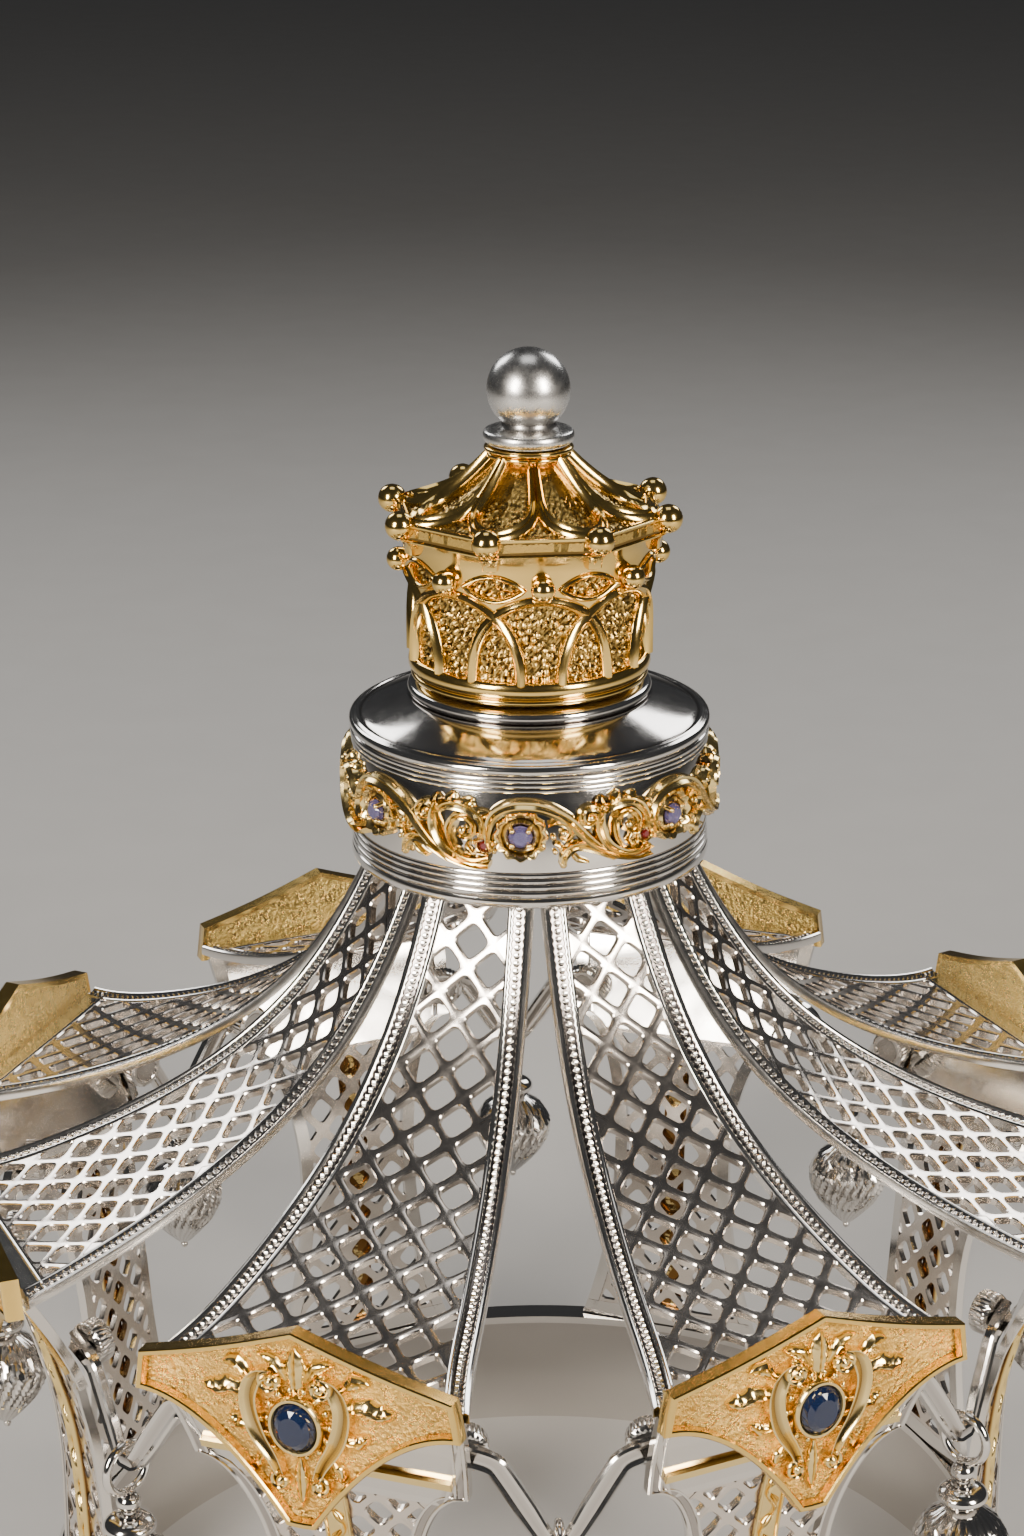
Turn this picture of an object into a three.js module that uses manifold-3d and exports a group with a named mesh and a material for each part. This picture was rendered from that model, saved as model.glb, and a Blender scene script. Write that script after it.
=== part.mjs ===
// Crown for a Torah scroll: eight pierced silver arms sweep from a domed hub down to a base
// circlet, with gilt plaques, a gilt cupola under a silver ball, and hanging drops between them.
// Millimetres, +Z up, origin on the axis at the underside of the circlet.

import * as THREE from 'three';
import Module from 'manifold-3d';
import { mergeVertices } from 'three/addons/utils/BufferGeometryUtils.js';

const wasm = await Module();
wasm.setup();

const TURN = Math.PI * 2;
const DEG = Math.PI / 180;

// ---- Driving dimensions ----

const ARMS = 8;                       // arms, plaques, struts and drops round the crown
const ARM_STEP = TURN / ARMS;
const ARM_START = ARM_STEP / 2;       // first arm, measured from -Y
const GAP = 0.3;                      // clearance between touching pieces
const SHEET = 1.3;                    // thickness of the silver sheet

const BALL = {
  radius: 7,
  z: 245.6,
  neck: 4.6,
  foot: 6.4,
  collar: 7.7,
  collarRise: 1.7,                    // from the foot to the collar's widest line
  collarTop: 0.9,
  collarTaper: 0.5,
};

const CUPOLA = {
  foot: 196,                          // underside, on the hub's top torus
  ring: 20.7,                         // radius of the smooth base ring
  ringLow: 198.4,
  ringTop: 200.1,
  ringChamfer: 0.7,
  waist: 19.6,
  footFlare: 0.2,
  topFlare: 1.5,                      // how far the drum widens up to the cornice
  archFoot: 200.6,
  archRise: 14.6,
  archHalfSpan: 35 * DEG,
  archHalfWidth: 0.75,
  cornice: 21.5,
  scallopLow: 216.8,
  scallopRise: 3,                     // the cornice's lower edge lifts under each hip
  corniceTop: 221.2,
  eave: 21.8,                         // apothem of the eight-sided roof
  eaveZ: 223,
  eaveHeight: 2.1,
  neck: 6.3,
  neckZ: 236.3,
  hipCrest: 0.7,
  hipBall: 2.1,
  hipBallAt: 24.6,
  turn: 3.5 * DEG,                    // the cupola is set slightly round from the arms
};

const HUB = {
  bottom: 165,
  rim: 31,                            // both stepped rims
  band: 30.4,
  lowRimTop: 170.3,
  bandTop: 185,
  lipZ: 190,
  dish: 28.4,
  dishTop: 193.4,
  torus: 20.9,
  top: 195.7,
  wall: 2,
};

const FRIEZE = {
  repeats: 7,
  low: 171.4,
  high: 184.2,
  thick: 1.5,
  vineHalfWidth: 0.9,
  scroll: 4.6,                        // radius of the scroll round each stone
  scrollDrop: 1.1,                    // how far its centre lies under the middle of the band
  turn: -5.4 * DEG,
  stone: 1.95,
  stoneRise: 1.4,
};

// The upper arm falls in a hollow curve from inside the hub to its outer end.
const UPPER = {
  topN: 26,
  topZ: 164,
  startN: 24.9,
  endN: 100.5,
  endZ: 112.8,
  startWidth: 9.5,                    // half width where it leaves the hub
  spread: 0.2125,                     // growth of the half width with distance from the axis
  flare: 1.2,
  flareFrom: 85,
  border: 4.2,
};

// The lower arm, from the plaque down to the circlet: distance from the axis and height.
const LOWER_PATH = [
  [100.5, 110.5], [95.8, 102], [92.3, 94], [89.6, 85], [87.3, 75], [86, 63], [85.5, 48], [84.9, 26.3],
];
const LOWER = {
  topWidth: 25.6,
  tabWidth: 23.2,
  tabS: 20,
  waistWidth: 12.4,
  waistS: 48,
  footWidth: 19,
  border: 3,
  rows: 3,
  spine: 2.4,                         // half width of the solid middle under the gilt strip
  cell: 6,
};

const LATTICE = { across: 18, along: 24, bar: 2.3 };  // one diamond cell, and the bars between cells

const PLAQUE = {
  back: 102.1,                        // distance of its back from the axis, at the top
  lean: 3 * DEG,
  top: 124,
  shoulder: 116.4,
  endLow: 109.6,
  tip: 89.6,
  shoulderWidth: 25.6,
  endWidth: 26.6,
  tipWidth: 2.4,
  depth: 3,
  floor: 1,
  rim: 1.1,
};
const STONE = { z: 107.6, halfWidth: 3.5, halfHeight: 4.15, rise: 1.6, collet: 0.9, proud: 0.4 };
const LEAF = {
  root: 0.3,                          // depth sunk into the plaque's floor
  rise: 1.4,
  scrollAt: 9.4,                      // the side scrolls' distance from the stone
  scrollUp: 1.6,
  scroll: 4.2,
  crestFrom: 4.6,                     // the leaf above the stone
  crestTo: 13,
};

// Struts: a shallow V of flat bar between neighbouring arms.
const STRUT = {
  endT: 16.6,
  bendT: 9.6,
  endZ: 100.6,
  bendZ: 98.6,
  lowZ: 86.4,
  lowT: 1.5,
  n: 96.3,                            // distance of the low point from the axis
  fall: 0.23,                         // how far the bars draw in towards their ends
  height: 3.6,
  lowHeight: 2.6,                     // the bar is slimmer at its low point
  thick: 2,
  nut: 3.7,
  nutLength: 3.6,
  nutT: 14.2,
};

// A drop, from its ring down: radii, and heights under the ring's centre.
const DROP = {
  ring: 4.2,
  wire: 0.95,
  ringCentre: 84.8,
  knob: 2.1,
  knobDown: 5.9,
  waist: 1.3,
  bead: 4.3,
  beadDown: 10.2,
  beadFootDown: 12.5,
  bulb: 8.2,
  bulbDown: 18.6,
  bulbLowDown: 24.1,
  tipDown: 31.6,
};

const CIRCLET = {
  outer: 90,
  band: 88,
  inner: 83.4,
  top: 26,
  wall: 2.2,
  footHeight: 3.6,
  rimHeight: 4.4,
  step: 1.7,                          // height of the slope between rim and band
};
const VINE = { z: 12.7, reach: 4.2, halfWidth: 1.3, rise: 1.2, sunk: 1.3 };

const ROUND = 24;                     // sides of the large turned pieces

// ---- Materials ----

const metal = (colour, roughness) =>
  new THREE.MeshStandardMaterial({ color: colour, roughness, metalness: 1 });
const gem = (colour) => new THREE.MeshStandardMaterial({ color: colour, roughness: 0.1, metalness: 0 });
const silver = () => metal(0xd9d4cc, 0.22);
const gold = () => metal(0xd9a038, 0.28);

// ---- Building helpers ----

// A point from its distance across (t), out from the axis (n) and height, on the side facing -Y.
const place = (t, n, z) => new THREE.Vector3(t, -n, z);

// The same from an angle and a radius.
const polar = (angle, radius, z) => place(radius * Math.sin(angle), radius * Math.cos(angle), z);

function facingOut(geometry) {
  const bare = new THREE.BufferGeometry();
  bare.setAttribute('position', geometry.getAttribute('position').clone());
  if (geometry.index) bare.setIndex(geometry.index.clone());
  const merged = mergeVertices(bare, 1e-4);
  const p = merged.getAttribute('position');
  const index = Array.from(merged.index.array);
  const corner = (i) => new THREE.Vector3().fromBufferAttribute(p, index[i]);
  let volume = 0;
  for (let i = 0; i < index.length; i += 3) {
    volume += corner(i).dot(corner(i + 1).cross(corner(i + 2)));
  }
  if (volume < 0) index.reverse();
  merged.setIndex(index);
  return merged;
}

// A closed body through a row of rings. A ring of one point is a tip; open ends get flat caps.
function loft(rings, endless = false) {
  const points = rings.flat();
  const starts = [];
  let count = 0;
  for (const ring of rings) {
    starts.push(count);
    count += ring.length;
  }
  const index = [];
  const strips = endless ? rings.length : rings.length - 1;
  for (let i = 0; i < strips; i++) {
    const j = (i + 1) % rings.length;
    const sides = Math.max(rings[i].length, rings[j].length);
    for (let k = 0; k < sides; k++) {
      const next = (k + 1) % sides;
      const a = starts[i] + (rings[i].length > 1 ? k : 0);
      const b = starts[i] + (rings[i].length > 1 ? next : 0);
      const c = starts[j] + (rings[j].length > 1 ? next : 0);
      const d = starts[j] + (rings[j].length > 1 ? k : 0);
      if (a !== b) index.push(a, b, c);
      if (c !== d) index.push(a, c, d);
    }
  }
  if (!endless) {
    const last = rings.length - 1;
    for (let k = 1; k + 1 < rings[0].length; k++) {
      index.push(starts[0], starts[0] + k + 1, starts[0] + k);
    }
    for (let k = 1; k + 1 < rings[last].length; k++) {
      index.push(starts[last], starts[last] + k, starts[last] + k + 1);
    }
  }
  const geometry = new THREE.BufferGeometry().setFromPoints(points);
  geometry.setIndex(index);
  return facingOut(geometry);
}

// Moves every point of a flat-drawn geometry to its real place.
function bend(geometry, where) {
  const p = geometry.getAttribute('position');
  for (let i = 0; i < p.count; i++) {
    const q = where(p.getX(i), p.getY(i), p.getZ(i));
    p.setXYZ(i, q.x, q.y, q.z);
  }
  return facingOut(geometry);
}

function toSolid(geometry) {
  const ready = facingOut(geometry);
  return new wasm.Manifold(new wasm.Mesh({
    numProp: 3,
    vertProperties: Float32Array.from(ready.getAttribute('position').array),
    triVerts: Uint32Array.from(ready.index.array),
  }));
}

function toGeometry(solid) {
  const mesh = solid.getMesh();
  const geometry = new THREE.BufferGeometry();
  geometry.setAttribute('position', new THREE.BufferAttribute(mesh.vertProperties, mesh.numProp));
  geometry.setIndex(new THREE.BufferAttribute(mesh.triVerts, 1));
  return geometry;
}

function join(...geometries) {
  return toGeometry(geometries.map(toSolid).reduce((whole, next) => whole.add(next)));
}

function piece(name, geometry, material, angle = 0) {
  const faceted = geometry.index ? geometry.toNonIndexed() : geometry;
  faceted.computeVertexNormals();
  const mesh = new THREE.Mesh(faceted, material);
  mesh.name = name;
  mesh.rotation.z = angle;
  return mesh;
}

// A turned piece: radius and height pairs, from the axis to the axis or closed on itself.
function turned(profile, sides = ROUND) {
  const onAxis = profile[0][0] === 0;
  const points = profile.map(([r, z]) => new THREE.Vector2(r, z));
  if (!onAxis) points.push(points[0].clone());
  const geometry = new THREE.LatheGeometry(points, sides);
  geometry.rotateX(Math.PI / 2);
  return facingOut(geometry);
}

// A ball as a low turned piece, centred at a point.
function ball(radius, centre, sides = 6, rows = 3) {
  return facingOut(new THREE.SphereGeometry(radius, sides, rows).rotateX(Math.PI / 2)
    .translate(centre.x, centre.y, centre.z));
}

// A raised rib with a crest: stations give its foot, its crest and the direction across it.
function rib(stations, halfWidth) {
  return stations.map(({ low, high, across }, i) => {
    const half = typeof halfWidth === 'function' ? halfWidth(i / (stations.length - 1)) : halfWidth;
    const wide = across.clone().multiplyScalar(half);
    return [low.clone().sub(wide), low.clone().add(wide), high];
  });
}

// Stations of a rib drawn as (angle, height) on a round wall whose radius depends on height.
function wallStations(line, radiusAt, sink, rise, endless = false) {
  return line.map(([angle, z], i) => {
    const before = line[endless ? (i + line.length - 1) % line.length : Math.max(i - 1, 0)];
    const after = line[endless ? (i + 1) % line.length : Math.min(i + 1, line.length - 1)];
    const radius = radiusAt(z);
    let turnBy = after[0] - before[0];
    if (turnBy > Math.PI) turnBy -= TURN;
    if (turnBy < -Math.PI) turnBy += TURN;
    const run = new THREE.Vector2(turnBy * radius, after[1] - before[1]).normalize();
    const along = polar(angle + Math.PI / 2, 1, 0);
    const across = along.multiplyScalar(-run.y).add(new THREE.Vector3(0, 0, run.x));
    return { low: polar(angle, radius - sink, z), high: polar(angle, radius + rise, z), across };
  });
}

const steps = (count, make) => Array.from({ length: count + 1 }, (_, i) => make(i / count));

// ---- Finial: a ball on a short neck with a moulded collar ----

function makeFinial() {
  const foot = CUPOLA.neckZ + GAP;
  const collarZ = foot + BALL.collarRise;
  const start = Math.acos(BALL.neck / BALL.radius);
  const sphere = steps(6, (u) => {
    const angle = -start + u * (start + Math.PI / 2);
    return [BALL.radius * Math.cos(angle), BALL.z + BALL.radius * Math.sin(angle)];
  });
  sphere[sphere.length - 1][0] = 0;
  return turned([
    [0, foot], [BALL.foot, foot], [BALL.collar, collarZ],
    [BALL.collar - BALL.collarTaper, collarZ + BALL.collarTop], ...sphere,
  ], 12);
}

// ---- Cupola: an arcaded drum under a hollow-sided eight-part roof ----

const drumRadius = (z) => {
  const up = (z - CUPOLA.archFoot) / (CUPOLA.eaveZ - CUPOLA.archFoot);
  const foot = CUPOLA.footFlare * (1 - Math.min(1, up * 6));
  return CUPOLA.waist + foot + CUPOLA.topFlare * Math.max(0, up) ** 2.2;
};

function makeCupola() {
  const { foot, ring, ringLow, ringTop, ringChamfer } = CUPOLA;
  const { archFoot, archRise, archHalfSpan, archHalfWidth } = CUPOLA;
  const { cornice, scallopLow, scallopRise, corniceTop, eave, eaveZ, eaveHeight } = CUPOLA;
  const { neck, neckZ, hipCrest, hipBall, hipBallAt } = CUPOLA;
  const facets = 2 * ARMS;
  const angles = Array.from({ length: facets }, (_, i) => (i / facets) * TURN);
  const offHip = (angle) => {
    const inStep = ((angle % ARM_STEP) + ARM_STEP) % ARM_STEP;
    return Math.min(inStep, ARM_STEP - inStep);
  };
  const circle = (radius, z) => angles.map((angle) => polar(angle, radius, z));
  const octagon = (apothem, z, hip = 0) => angles.map((angle) => {
    const radius = apothem / Math.cos(ARM_STEP / 2 - offHip(angle));
    return polar(angle, radius + (offHip(angle) < 0.01 ? hip : 0), z);
  });
  const scallop = (radius) => angles.map((angle) => {
    const peak = offHip(angle) < 0.01 ? scallopRise : 0;
    return polar(angle, radius, scallopLow + peak);
  });
  const roofFoot = eaveZ + eaveHeight;
  const roof = [0.2, 0.55].map((u) => {
    const apothem = eave + (neck - eave) * u;
    return octagon(apothem, roofFoot + (neckZ - roofFoot) * u ** 1.6, hipCrest);
  });
  const body = loft([
    [polar(0, 0, foot + GAP)],
    circle(ring - ringChamfer, foot + GAP), circle(ring, ringLow), circle(ring, ringTop),
    circle(drumRadius(archFoot), archFoot),
    scallop(drumRadius(scallopLow)), scallop(cornice),
    circle(cornice, corniceTop), circle(cornice - 0.9, eaveZ - 0.2),
    octagon(eave, eaveZ), octagon(eave, roofFoot),
    ...roof,
    circle(neck, neckZ),
    [polar(0, 0, neckZ)],
  ]);
  const parts = [body];
  for (let k = 0; k < ARMS; k++) {
    const faceAngle = (k + 0.5) * ARM_STEP;
    const line = steps(4, (u) => {
      const swing = Math.PI * (1 - u);
      return [
        faceAngle + archHalfSpan * Math.cos(swing),
        archFoot - 0.2 + archRise * Math.sin(swing) ** 0.9,
      ];
    });
    const lift = k % 2 ? 0.9 : 1.05;    // neighbouring arches cross, one a little prouder
    parts.push(loft(rib(wallStations(line, drumRadius, 0.5, lift), archHalfWidth)));
    parts.push(ball(hipBall, polar(k * ARM_STEP, hipBallAt, roofFoot - 0.1), 5, 3));
  }
  return join(...parts);
}

// ---- Hub: a hollow drum with stepped rims under a polished dish ----

function makeHub() {
  const { bottom, rim, band, lowRimTop, bandTop, lipZ, dish, dishTop, torus, top, wall } = HUB;
  return turned([
    [0, top], [torus, top], [torus - 0.5, dishTop],
    [24.4, dishTop - 1.8], [dish, lipZ], [rim, lipZ - 0.8], [rim, bandTop + 0.4],
    [band, bandTop], [band, lowRimTop], [rim, lowRimTop - 0.4], [rim, bottom],
    [band - wall, bottom], [band - wall, lipZ - wall - 0.8], [24, dishTop - wall - 2.1],
    [torus - wall - 0.6, dishTop - wall], [torus - wall - 0.6, top - wall], [0, top - wall],
  ], 24);
}

// ---- Scroll frieze: a pierced running vine with a jewelled rosette in each repeat ----

function spiralLine(centre, radius, turnsBy, from, count, pull = 0.45) {
  return steps(count, (u) => {
    const angle = from + turnsBy * u;
    const r = radius * (1 - u * (1 - pull));
    return [centre[0] + r * Math.cos(angle), centre[1] + r * Math.sin(angle)];
  });
}

function makeFrieze() {
  const { repeats, low, high, thick, vineHalfWidth, scroll, scrollDrop } = FRIEZE;
  const wall = HUB.band + GAP;
  const stepAngle = TURN / repeats;
  const middle = (low + high) / 2;
  const reach = (high - low) / 2 - vineHalfWidth;
  const onWall = (line) => line.map(([x, z]) => [x / wall, z]);
  const raise = (line, half) => loft(rib(wallStations(onWall(line), () => wall, 0, thick), half));
  const vineSteps = 6 * repeats;
  const vine = Array.from({ length: vineSteps }, (_, i) => {
    const u = i / vineSteps;
    return [u * TURN, middle + reach * Math.sin(u * TURN * repeats + Math.PI / 2)];
  });
  const parts = [loft(rib(wallStations(vine, () => wall, 0, thick, true), vineHalfWidth), true)];
  for (let k = 0; k < repeats; k++) {
    const up = k * stepAngle * wall;
    parts.push(raise(spiralLine([up, middle - scrollDrop], scroll, -4.4, 1.1, 5), (u) => 1.1 - 0.5 * u));
  }
  return join(...parts);
}

// An oval stone with a flat back and a smaller flat table.
function makeStone(halfWidth, halfHeight, rise, sides = 6) {
  const oval = (scale, out) => Array.from({ length: sides }, (_, i) => {
    const angle = ((i + 0.5) / sides) * TURN;
    return place(scale * halfWidth * Math.cos(angle), out, scale * halfHeight * Math.sin(angle));
  });
  return loft([oval(1, 0), oval(0.62, rise)]);
}

// ---- Upper arms: concave lattice panels ----

const upperPath = new THREE.SplineCurve(steps(24, (u) => {
  const { topN, topZ, startN, endN, endZ } = UPPER;
  const n = startN + (endN - startN) * u;
  const x = (endN - n) / (endN - topN);
  return new THREE.Vector2(n, endZ + (topZ - endZ) * (0.6 * x ** 1.5 + 0.4 * x ** 6));
}));
const lowerPath = new THREE.SplineCurve(LOWER_PATH.map(([n, z]) => new THREE.Vector2(n, z)));

// Bends a flat pattern (t across, s along, w through the sheet) onto an arm's path.
function alongPath(path) {
  const length = path.getLength();
  return (t, s, w) => {
    const u = THREE.MathUtils.clamp(s / length, 0, 1);
    const point = path.getPointAt(u);
    const run = path.getTangentAt(u);
    return place(t, point.x + run.y * w, point.y - run.x * w);
  };
}

const upperWidth = (n) =>
  UPPER.startWidth + UPPER.spread * (n - UPPER.startN)
  + UPPER.flare * Math.max(0, (n - UPPER.flareFrom) / (UPPER.endN - UPPER.flareFrom)) ** 2;

// A flat sheet drawn as t across and s along, from 0 to its thickness.
function sheet(outline) {
  const shape = new THREE.Shape(outline.map(([t, s]) => new THREE.Vector2(t, s)));
  return toSolid(new THREE.ExtrudeGeometry(shape, { depth: SHEET, bevelEnabled: false }));
}

function pierced(outline, opening, holes, path) {
  let cut = sheet(outline);
  const room = sheet(opening);
  for (const hole of holes) cut = cut.subtract(sheet(hole).intersect(room));
  return bend(toGeometry(cut), alongPath(path));
}

const mirrored = (side) => [...side, ...side.slice().reverse().map(([t, s]) => [-t, s])];

const diamond = (t, s, across, along) => [[t - across, s], [t, s - along], [t + across, s], [t, s + along]];

function makeUpperPanel() {
  const length = upperPath.getLength();
  const { border } = UPPER;
  const widthAt = (s) => upperWidth(upperPath.getPointAt(THREE.MathUtils.clamp(s / length, 0, 1)).x);
  const side = (from, to, inset, count) => steps(count, (u) => {
    const s = from + (to - from) * u;
    return [widthAt(s) - inset, s];
  });
  const top = 2 * border;
  const { across, along, bar } = LATTICE;
  const holes = [];
  for (let row = 0; top + row * along / 2 < length; row++) {
    const s = top + row * along / 2;
    for (let i = -2; i <= 2; i++) {
      const t = (i + (row % 2) / 2) * across;
      if (Math.abs(t) > widthAt(s) - border) continue;
      holes.push(diamond(t, s, (across - bar) / 2, (along - bar * 1.2) / 2));
    }
  }
  const outline = mirrored(side(0, length, 0, 5));
  const opening = mirrored(side(top * 0.8, length - border, border, 2));
  return pierced(outline, opening, holes, upperPath);
}

// ---- Lower arms: a plain tab behind the plaque, then a waisted lattice panel ----

const lowerWidth = (s) => {
  const { topWidth, tabWidth, tabS, waistWidth, waistS, footWidth } = LOWER;
  const length = lowerPath.getLength();
  if (s <= tabS) return topWidth + (tabWidth - topWidth) * (s / tabS);
  if (s <= waistS) {
    const x = (s - tabS) / (waistS - tabS);
    return tabWidth - (tabWidth - waistWidth) * Math.sqrt(1 - (1 - x) ** 2);
  }
  const x = (s - waistS) / (length - waistS);
  return waistWidth + (footWidth - waistWidth) * x ** 2;
};

function makeLowerArm() {
  const length = lowerPath.getLength();
  const { tabS, waistS, border, rows, spine, cell } = LOWER;
  const marks = [0, tabS / 2, tabS];
  for (const x of [0.08, 0.35]) marks.push(tabS + (waistS - tabS) * x);
  for (const x of [0, 0.5, 1]) marks.push(waistS + (length - waistS) * x);
  const side = marks.map((s) => [lowerWidth(s), s]);
  const opening = steps(3, (u) => {
    const s = tabS + border + (length - tabS - 2 * border) * u;
    return [lowerWidth(s) - border, s];
  });
  const holes = [];
  for (let row = 0; row < rows; row++) {
    const s = tabS + border + (row + 0.5) * (length - tabS - 2 * border) / rows;
    for (const t of [-1, 1]) {
      const high = (length - tabS) / rows / 2;
      holes.push(diamond(t * (spine + cell), s, cell, high - 1));
    }
  }
  return pierced(mirrored(side), mirrored(opening), holes, lowerPath);
}

// ---- Plaques: shallow gilt trays with a collet and leaf scrolls ----

// The plaque leans in a little towards its tip.
const plaqueFace = (t, z, out) => {
  const down = PLAQUE.top - z;
  return place(
    t,
    PLAQUE.back - down * Math.sin(PLAQUE.lean) + out * Math.cos(PLAQUE.lean),
    z + out * Math.sin(PLAQUE.lean),
  );
};

function plaqueOutline(inset) {
  const { top, shoulder, endLow, tip, shoulderWidth, endWidth, tipWidth } = PLAQUE;
  const hollow = [0.28, 0.62].map((x) => [
    endWidth + (tipWidth - endWidth) * x,
    endLow + (tip - endLow) * x ** 1.9,
  ]);
  const side = [[0, top - inset * 1.1], [shoulderWidth - inset, shoulder - inset * 0.8],
    [endWidth - inset * 1.1, endLow + inset * 0.6],
    ...hollow.map(([t, z]) => [t - inset * 0.6, z + inset * 0.8]), [tipWidth - inset * 0.4, tip + inset]];
  return [...side, ...side.slice(1).reverse().map(([t, z]) => [-t, z])];
}

function makePlaque() {
  const { depth, floor, rim } = PLAQUE;
  const { root, rise, scrollAt, scrollUp, scroll, crestFrom, crestTo } = LEAF;
  const outer = plaqueOutline(0);
  const inner = plaqueOutline(rim);
  const ring = (outline, out) => outline.map(([t, z]) => plaqueFace(t, z, out));
  const hub = (out) => [plaqueFace(0, STONE.z, out)];
  const tray = loft([
    hub(0), ring(outer, 0), ring(outer, depth), ring(inner, depth), ring(inner, floor), hub(floor),
  ]);
  const oval = (grow, out) => Array.from({ length: 6 }, (_, i) => {
    const angle = ((i + 0.5) / 6) * TURN;
    return plaqueFace(
      (STONE.halfWidth + grow) * Math.cos(angle),
      STONE.z + (STONE.halfHeight + grow) * Math.sin(angle),
      out,
    );
  });
  const collet = loft([oval(STONE.collet + 0.5, floor - root), oval(STONE.collet, depth + STONE.proud)]);
  const parts = [tray, collet];
  const leaf = (line, half) => loft(rib(line.map(([t, z], i) => {
    const before = line[Math.max(i - 1, 0)];
    const after = line[Math.min(i + 1, line.length - 1)];
    const run = new THREE.Vector2(after[0] - before[0], after[1] - before[1]).normalize();
    return {
      low: plaqueFace(t, z, floor - root),
      high: plaqueFace(t, z, floor + rise),
      across: new THREE.Vector3(-run.y, 0, run.x),
    };
  }), half));
  for (const sideways of [-1, 1]) {
    const curl = spiralLine([scrollAt, STONE.z + scrollUp], scroll, 4.2, -0.6, 3);
    parts.push(leaf(curl.map(([t, z]) => [sideways * t, z]), (u) => 1.2 - 0.5 * u));
  }
  parts.push(leaf([[0, STONE.z + crestFrom], [0, STONE.z + crestTo]], (u) => 2.6 - 1.6 * u));
  return join(...parts);
}

function makeSapphire() {
  const stone = makeStone(STONE.halfWidth, STONE.halfHeight, STONE.rise);
  return bend(stone, (x, y, z) => plaqueFace(x, STONE.z + z, PLAQUE.depth + STONE.proud + GAP - y));
}

// ---- Struts and drops ----

function makeStrut() {
  const { endT, bendT, endZ, bendZ, lowZ, lowT, lowHeight, n, fall, height, thick } = STRUT;
  const { nut, nutLength, nutT } = STRUT;
  const half = height / 2;
  const upper = [[endT, endZ + half], [bendT, bendZ + half], [lowT, lowZ + lowHeight / 2]];
  const lower = [[endT, endZ - half], [bendT - 0.6, bendZ - half], [lowT, lowZ - lowHeight / 2]];
  const flip = (list) => list.slice().reverse().map(([t, z]) => [-t, z]);
  const outline = [...upper, ...flip(upper), ...flip(lower).reverse(), ...lower.slice().reverse()];
  const shape = new THREE.Shape(outline.map(([t, z]) => new THREE.Vector2(t, z)));
  const flat = new THREE.ExtrudeGeometry(shape, { depth: thick, bevelEnabled: false });
  const inside = (t) => n - fall * Math.abs(t);
  const bars = bend(flat, (t, z, w) => place(t, inside(t) - thick / 2 + w, z));
  const parts = [bars];
  for (const side of [-1, 1]) {
    const face = inside(nutT) - thick / 2 + GAP;
    const z = bendZ + (endZ - bendZ) * (nutT - bendT) / (endT - bendT);
    const disc = (out) => Array.from({ length: 5 }, (_, i) => {
      const angle = ((i + 0.5) / 5) * TURN;
      return place(side * nutT + nut * Math.cos(angle), out, z + nut * Math.sin(angle));
    });
    parts.push(loft([disc(face), disc(face - nutLength)]));
  }
  return join(...parts);
}

function makeDrop() {
  const { ring, wire, ringCentre, knob, knobDown, waist, bead, beadDown, beadFootDown } = DROP;
  const { bulb, bulbDown, bulbLowDown, tipDown } = DROP;
  const n = STRUT.n;
  const links = 8;
  const hoop = loft(Array.from({ length: links }, (_, i) => {
    const angle = ((i + 0.5) / links) * TURN;
    return [0, 1, 2].map((k) => {
      const around = (k / 3) * TURN;
      const r = ring + wire * Math.cos(around);
      return place(wire * Math.sin(around), n + r * Math.cos(angle), ringCentre + r * Math.sin(angle));
    });
  }), true);
  const sides = 6;
  const round = (radius, down, twist = 0) => Array.from({ length: sides }, (_, i) => {
    const angle = (i / sides) * TURN + twist;
    return place(radius * Math.sin(angle), n + radius * Math.cos(angle), ringCentre - down);
  });
  const body = loft([
    [place(0, n, ringCentre - knobDown + knob)], round(knob, knobDown), round(waist, knobDown + knob),
    round(bead, beadDown), round(bead * 0.6, beadFootDown),
    round(bulb, bulbDown, 0.2), round(bulb * 0.75, bulbLowDown, 0.4), [place(0, n, ringCentre - tipDown)],
  ]);
  return join(hoop, body);
}

// ---- Base circlet and its running ornament ----

function makeCirclet() {
  const { outer, band, inner, top, wall, footHeight, rimHeight, step } = CIRCLET;
  const rimRadius = outer - 0.4;
  const ring = turned([
    [band - wall, 0], [outer, 0], [outer, footHeight], [band, footHeight + step],
    [band, top - rimHeight - step], [rimRadius, top - rimHeight],
    [rimRadius, top], [inner, top], [inner, top - wall], [band - wall, top - wall],
  ]);
  return join(ring, makeVine());
}

// The running ornament, soldered into the circlet's band.
function makeVine() {
  const wall = CIRCLET.band - VINE.sunk;
  const count = 6 * ARMS;
  const vine = Array.from({ length: count }, (_, i) => {
    const angle = (i / count) * TURN;
    return [angle, VINE.z + VINE.reach * Math.sin(angle * ARMS)];
  });
  return loft(rib(wallStations(vine, () => wall, 0, VINE.sunk + VINE.rise, true), VINE.halfWidth), true);
}

// ---- Assembly ----

const crown = new THREE.Group();
crown.add(piece('finial', makeFinial(), silver()));
crown.add(piece('cupola', makeCupola(), gold(), ARM_START + CUPOLA.turn));
crown.add(piece('hub', makeHub(), silver()));
crown.add(piece('scroll_frieze', makeFrieze(), gold(), FRIEZE.turn));

for (let k = 0; k < FRIEZE.repeats; k++) {
  const out = HUB.band + GAP;
  const middle = (FRIEZE.low + FRIEZE.high) / 2;
  const stone = makeStone(FRIEZE.stone, FRIEZE.stone, FRIEZE.stoneRise).translate(0, -out, middle);
  crown.add(piece(`hub_stone_${k + 1}`, stone, gem(0x7d78a8), FRIEZE.turn + k * TURN / FRIEZE.repeats));
}

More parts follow.
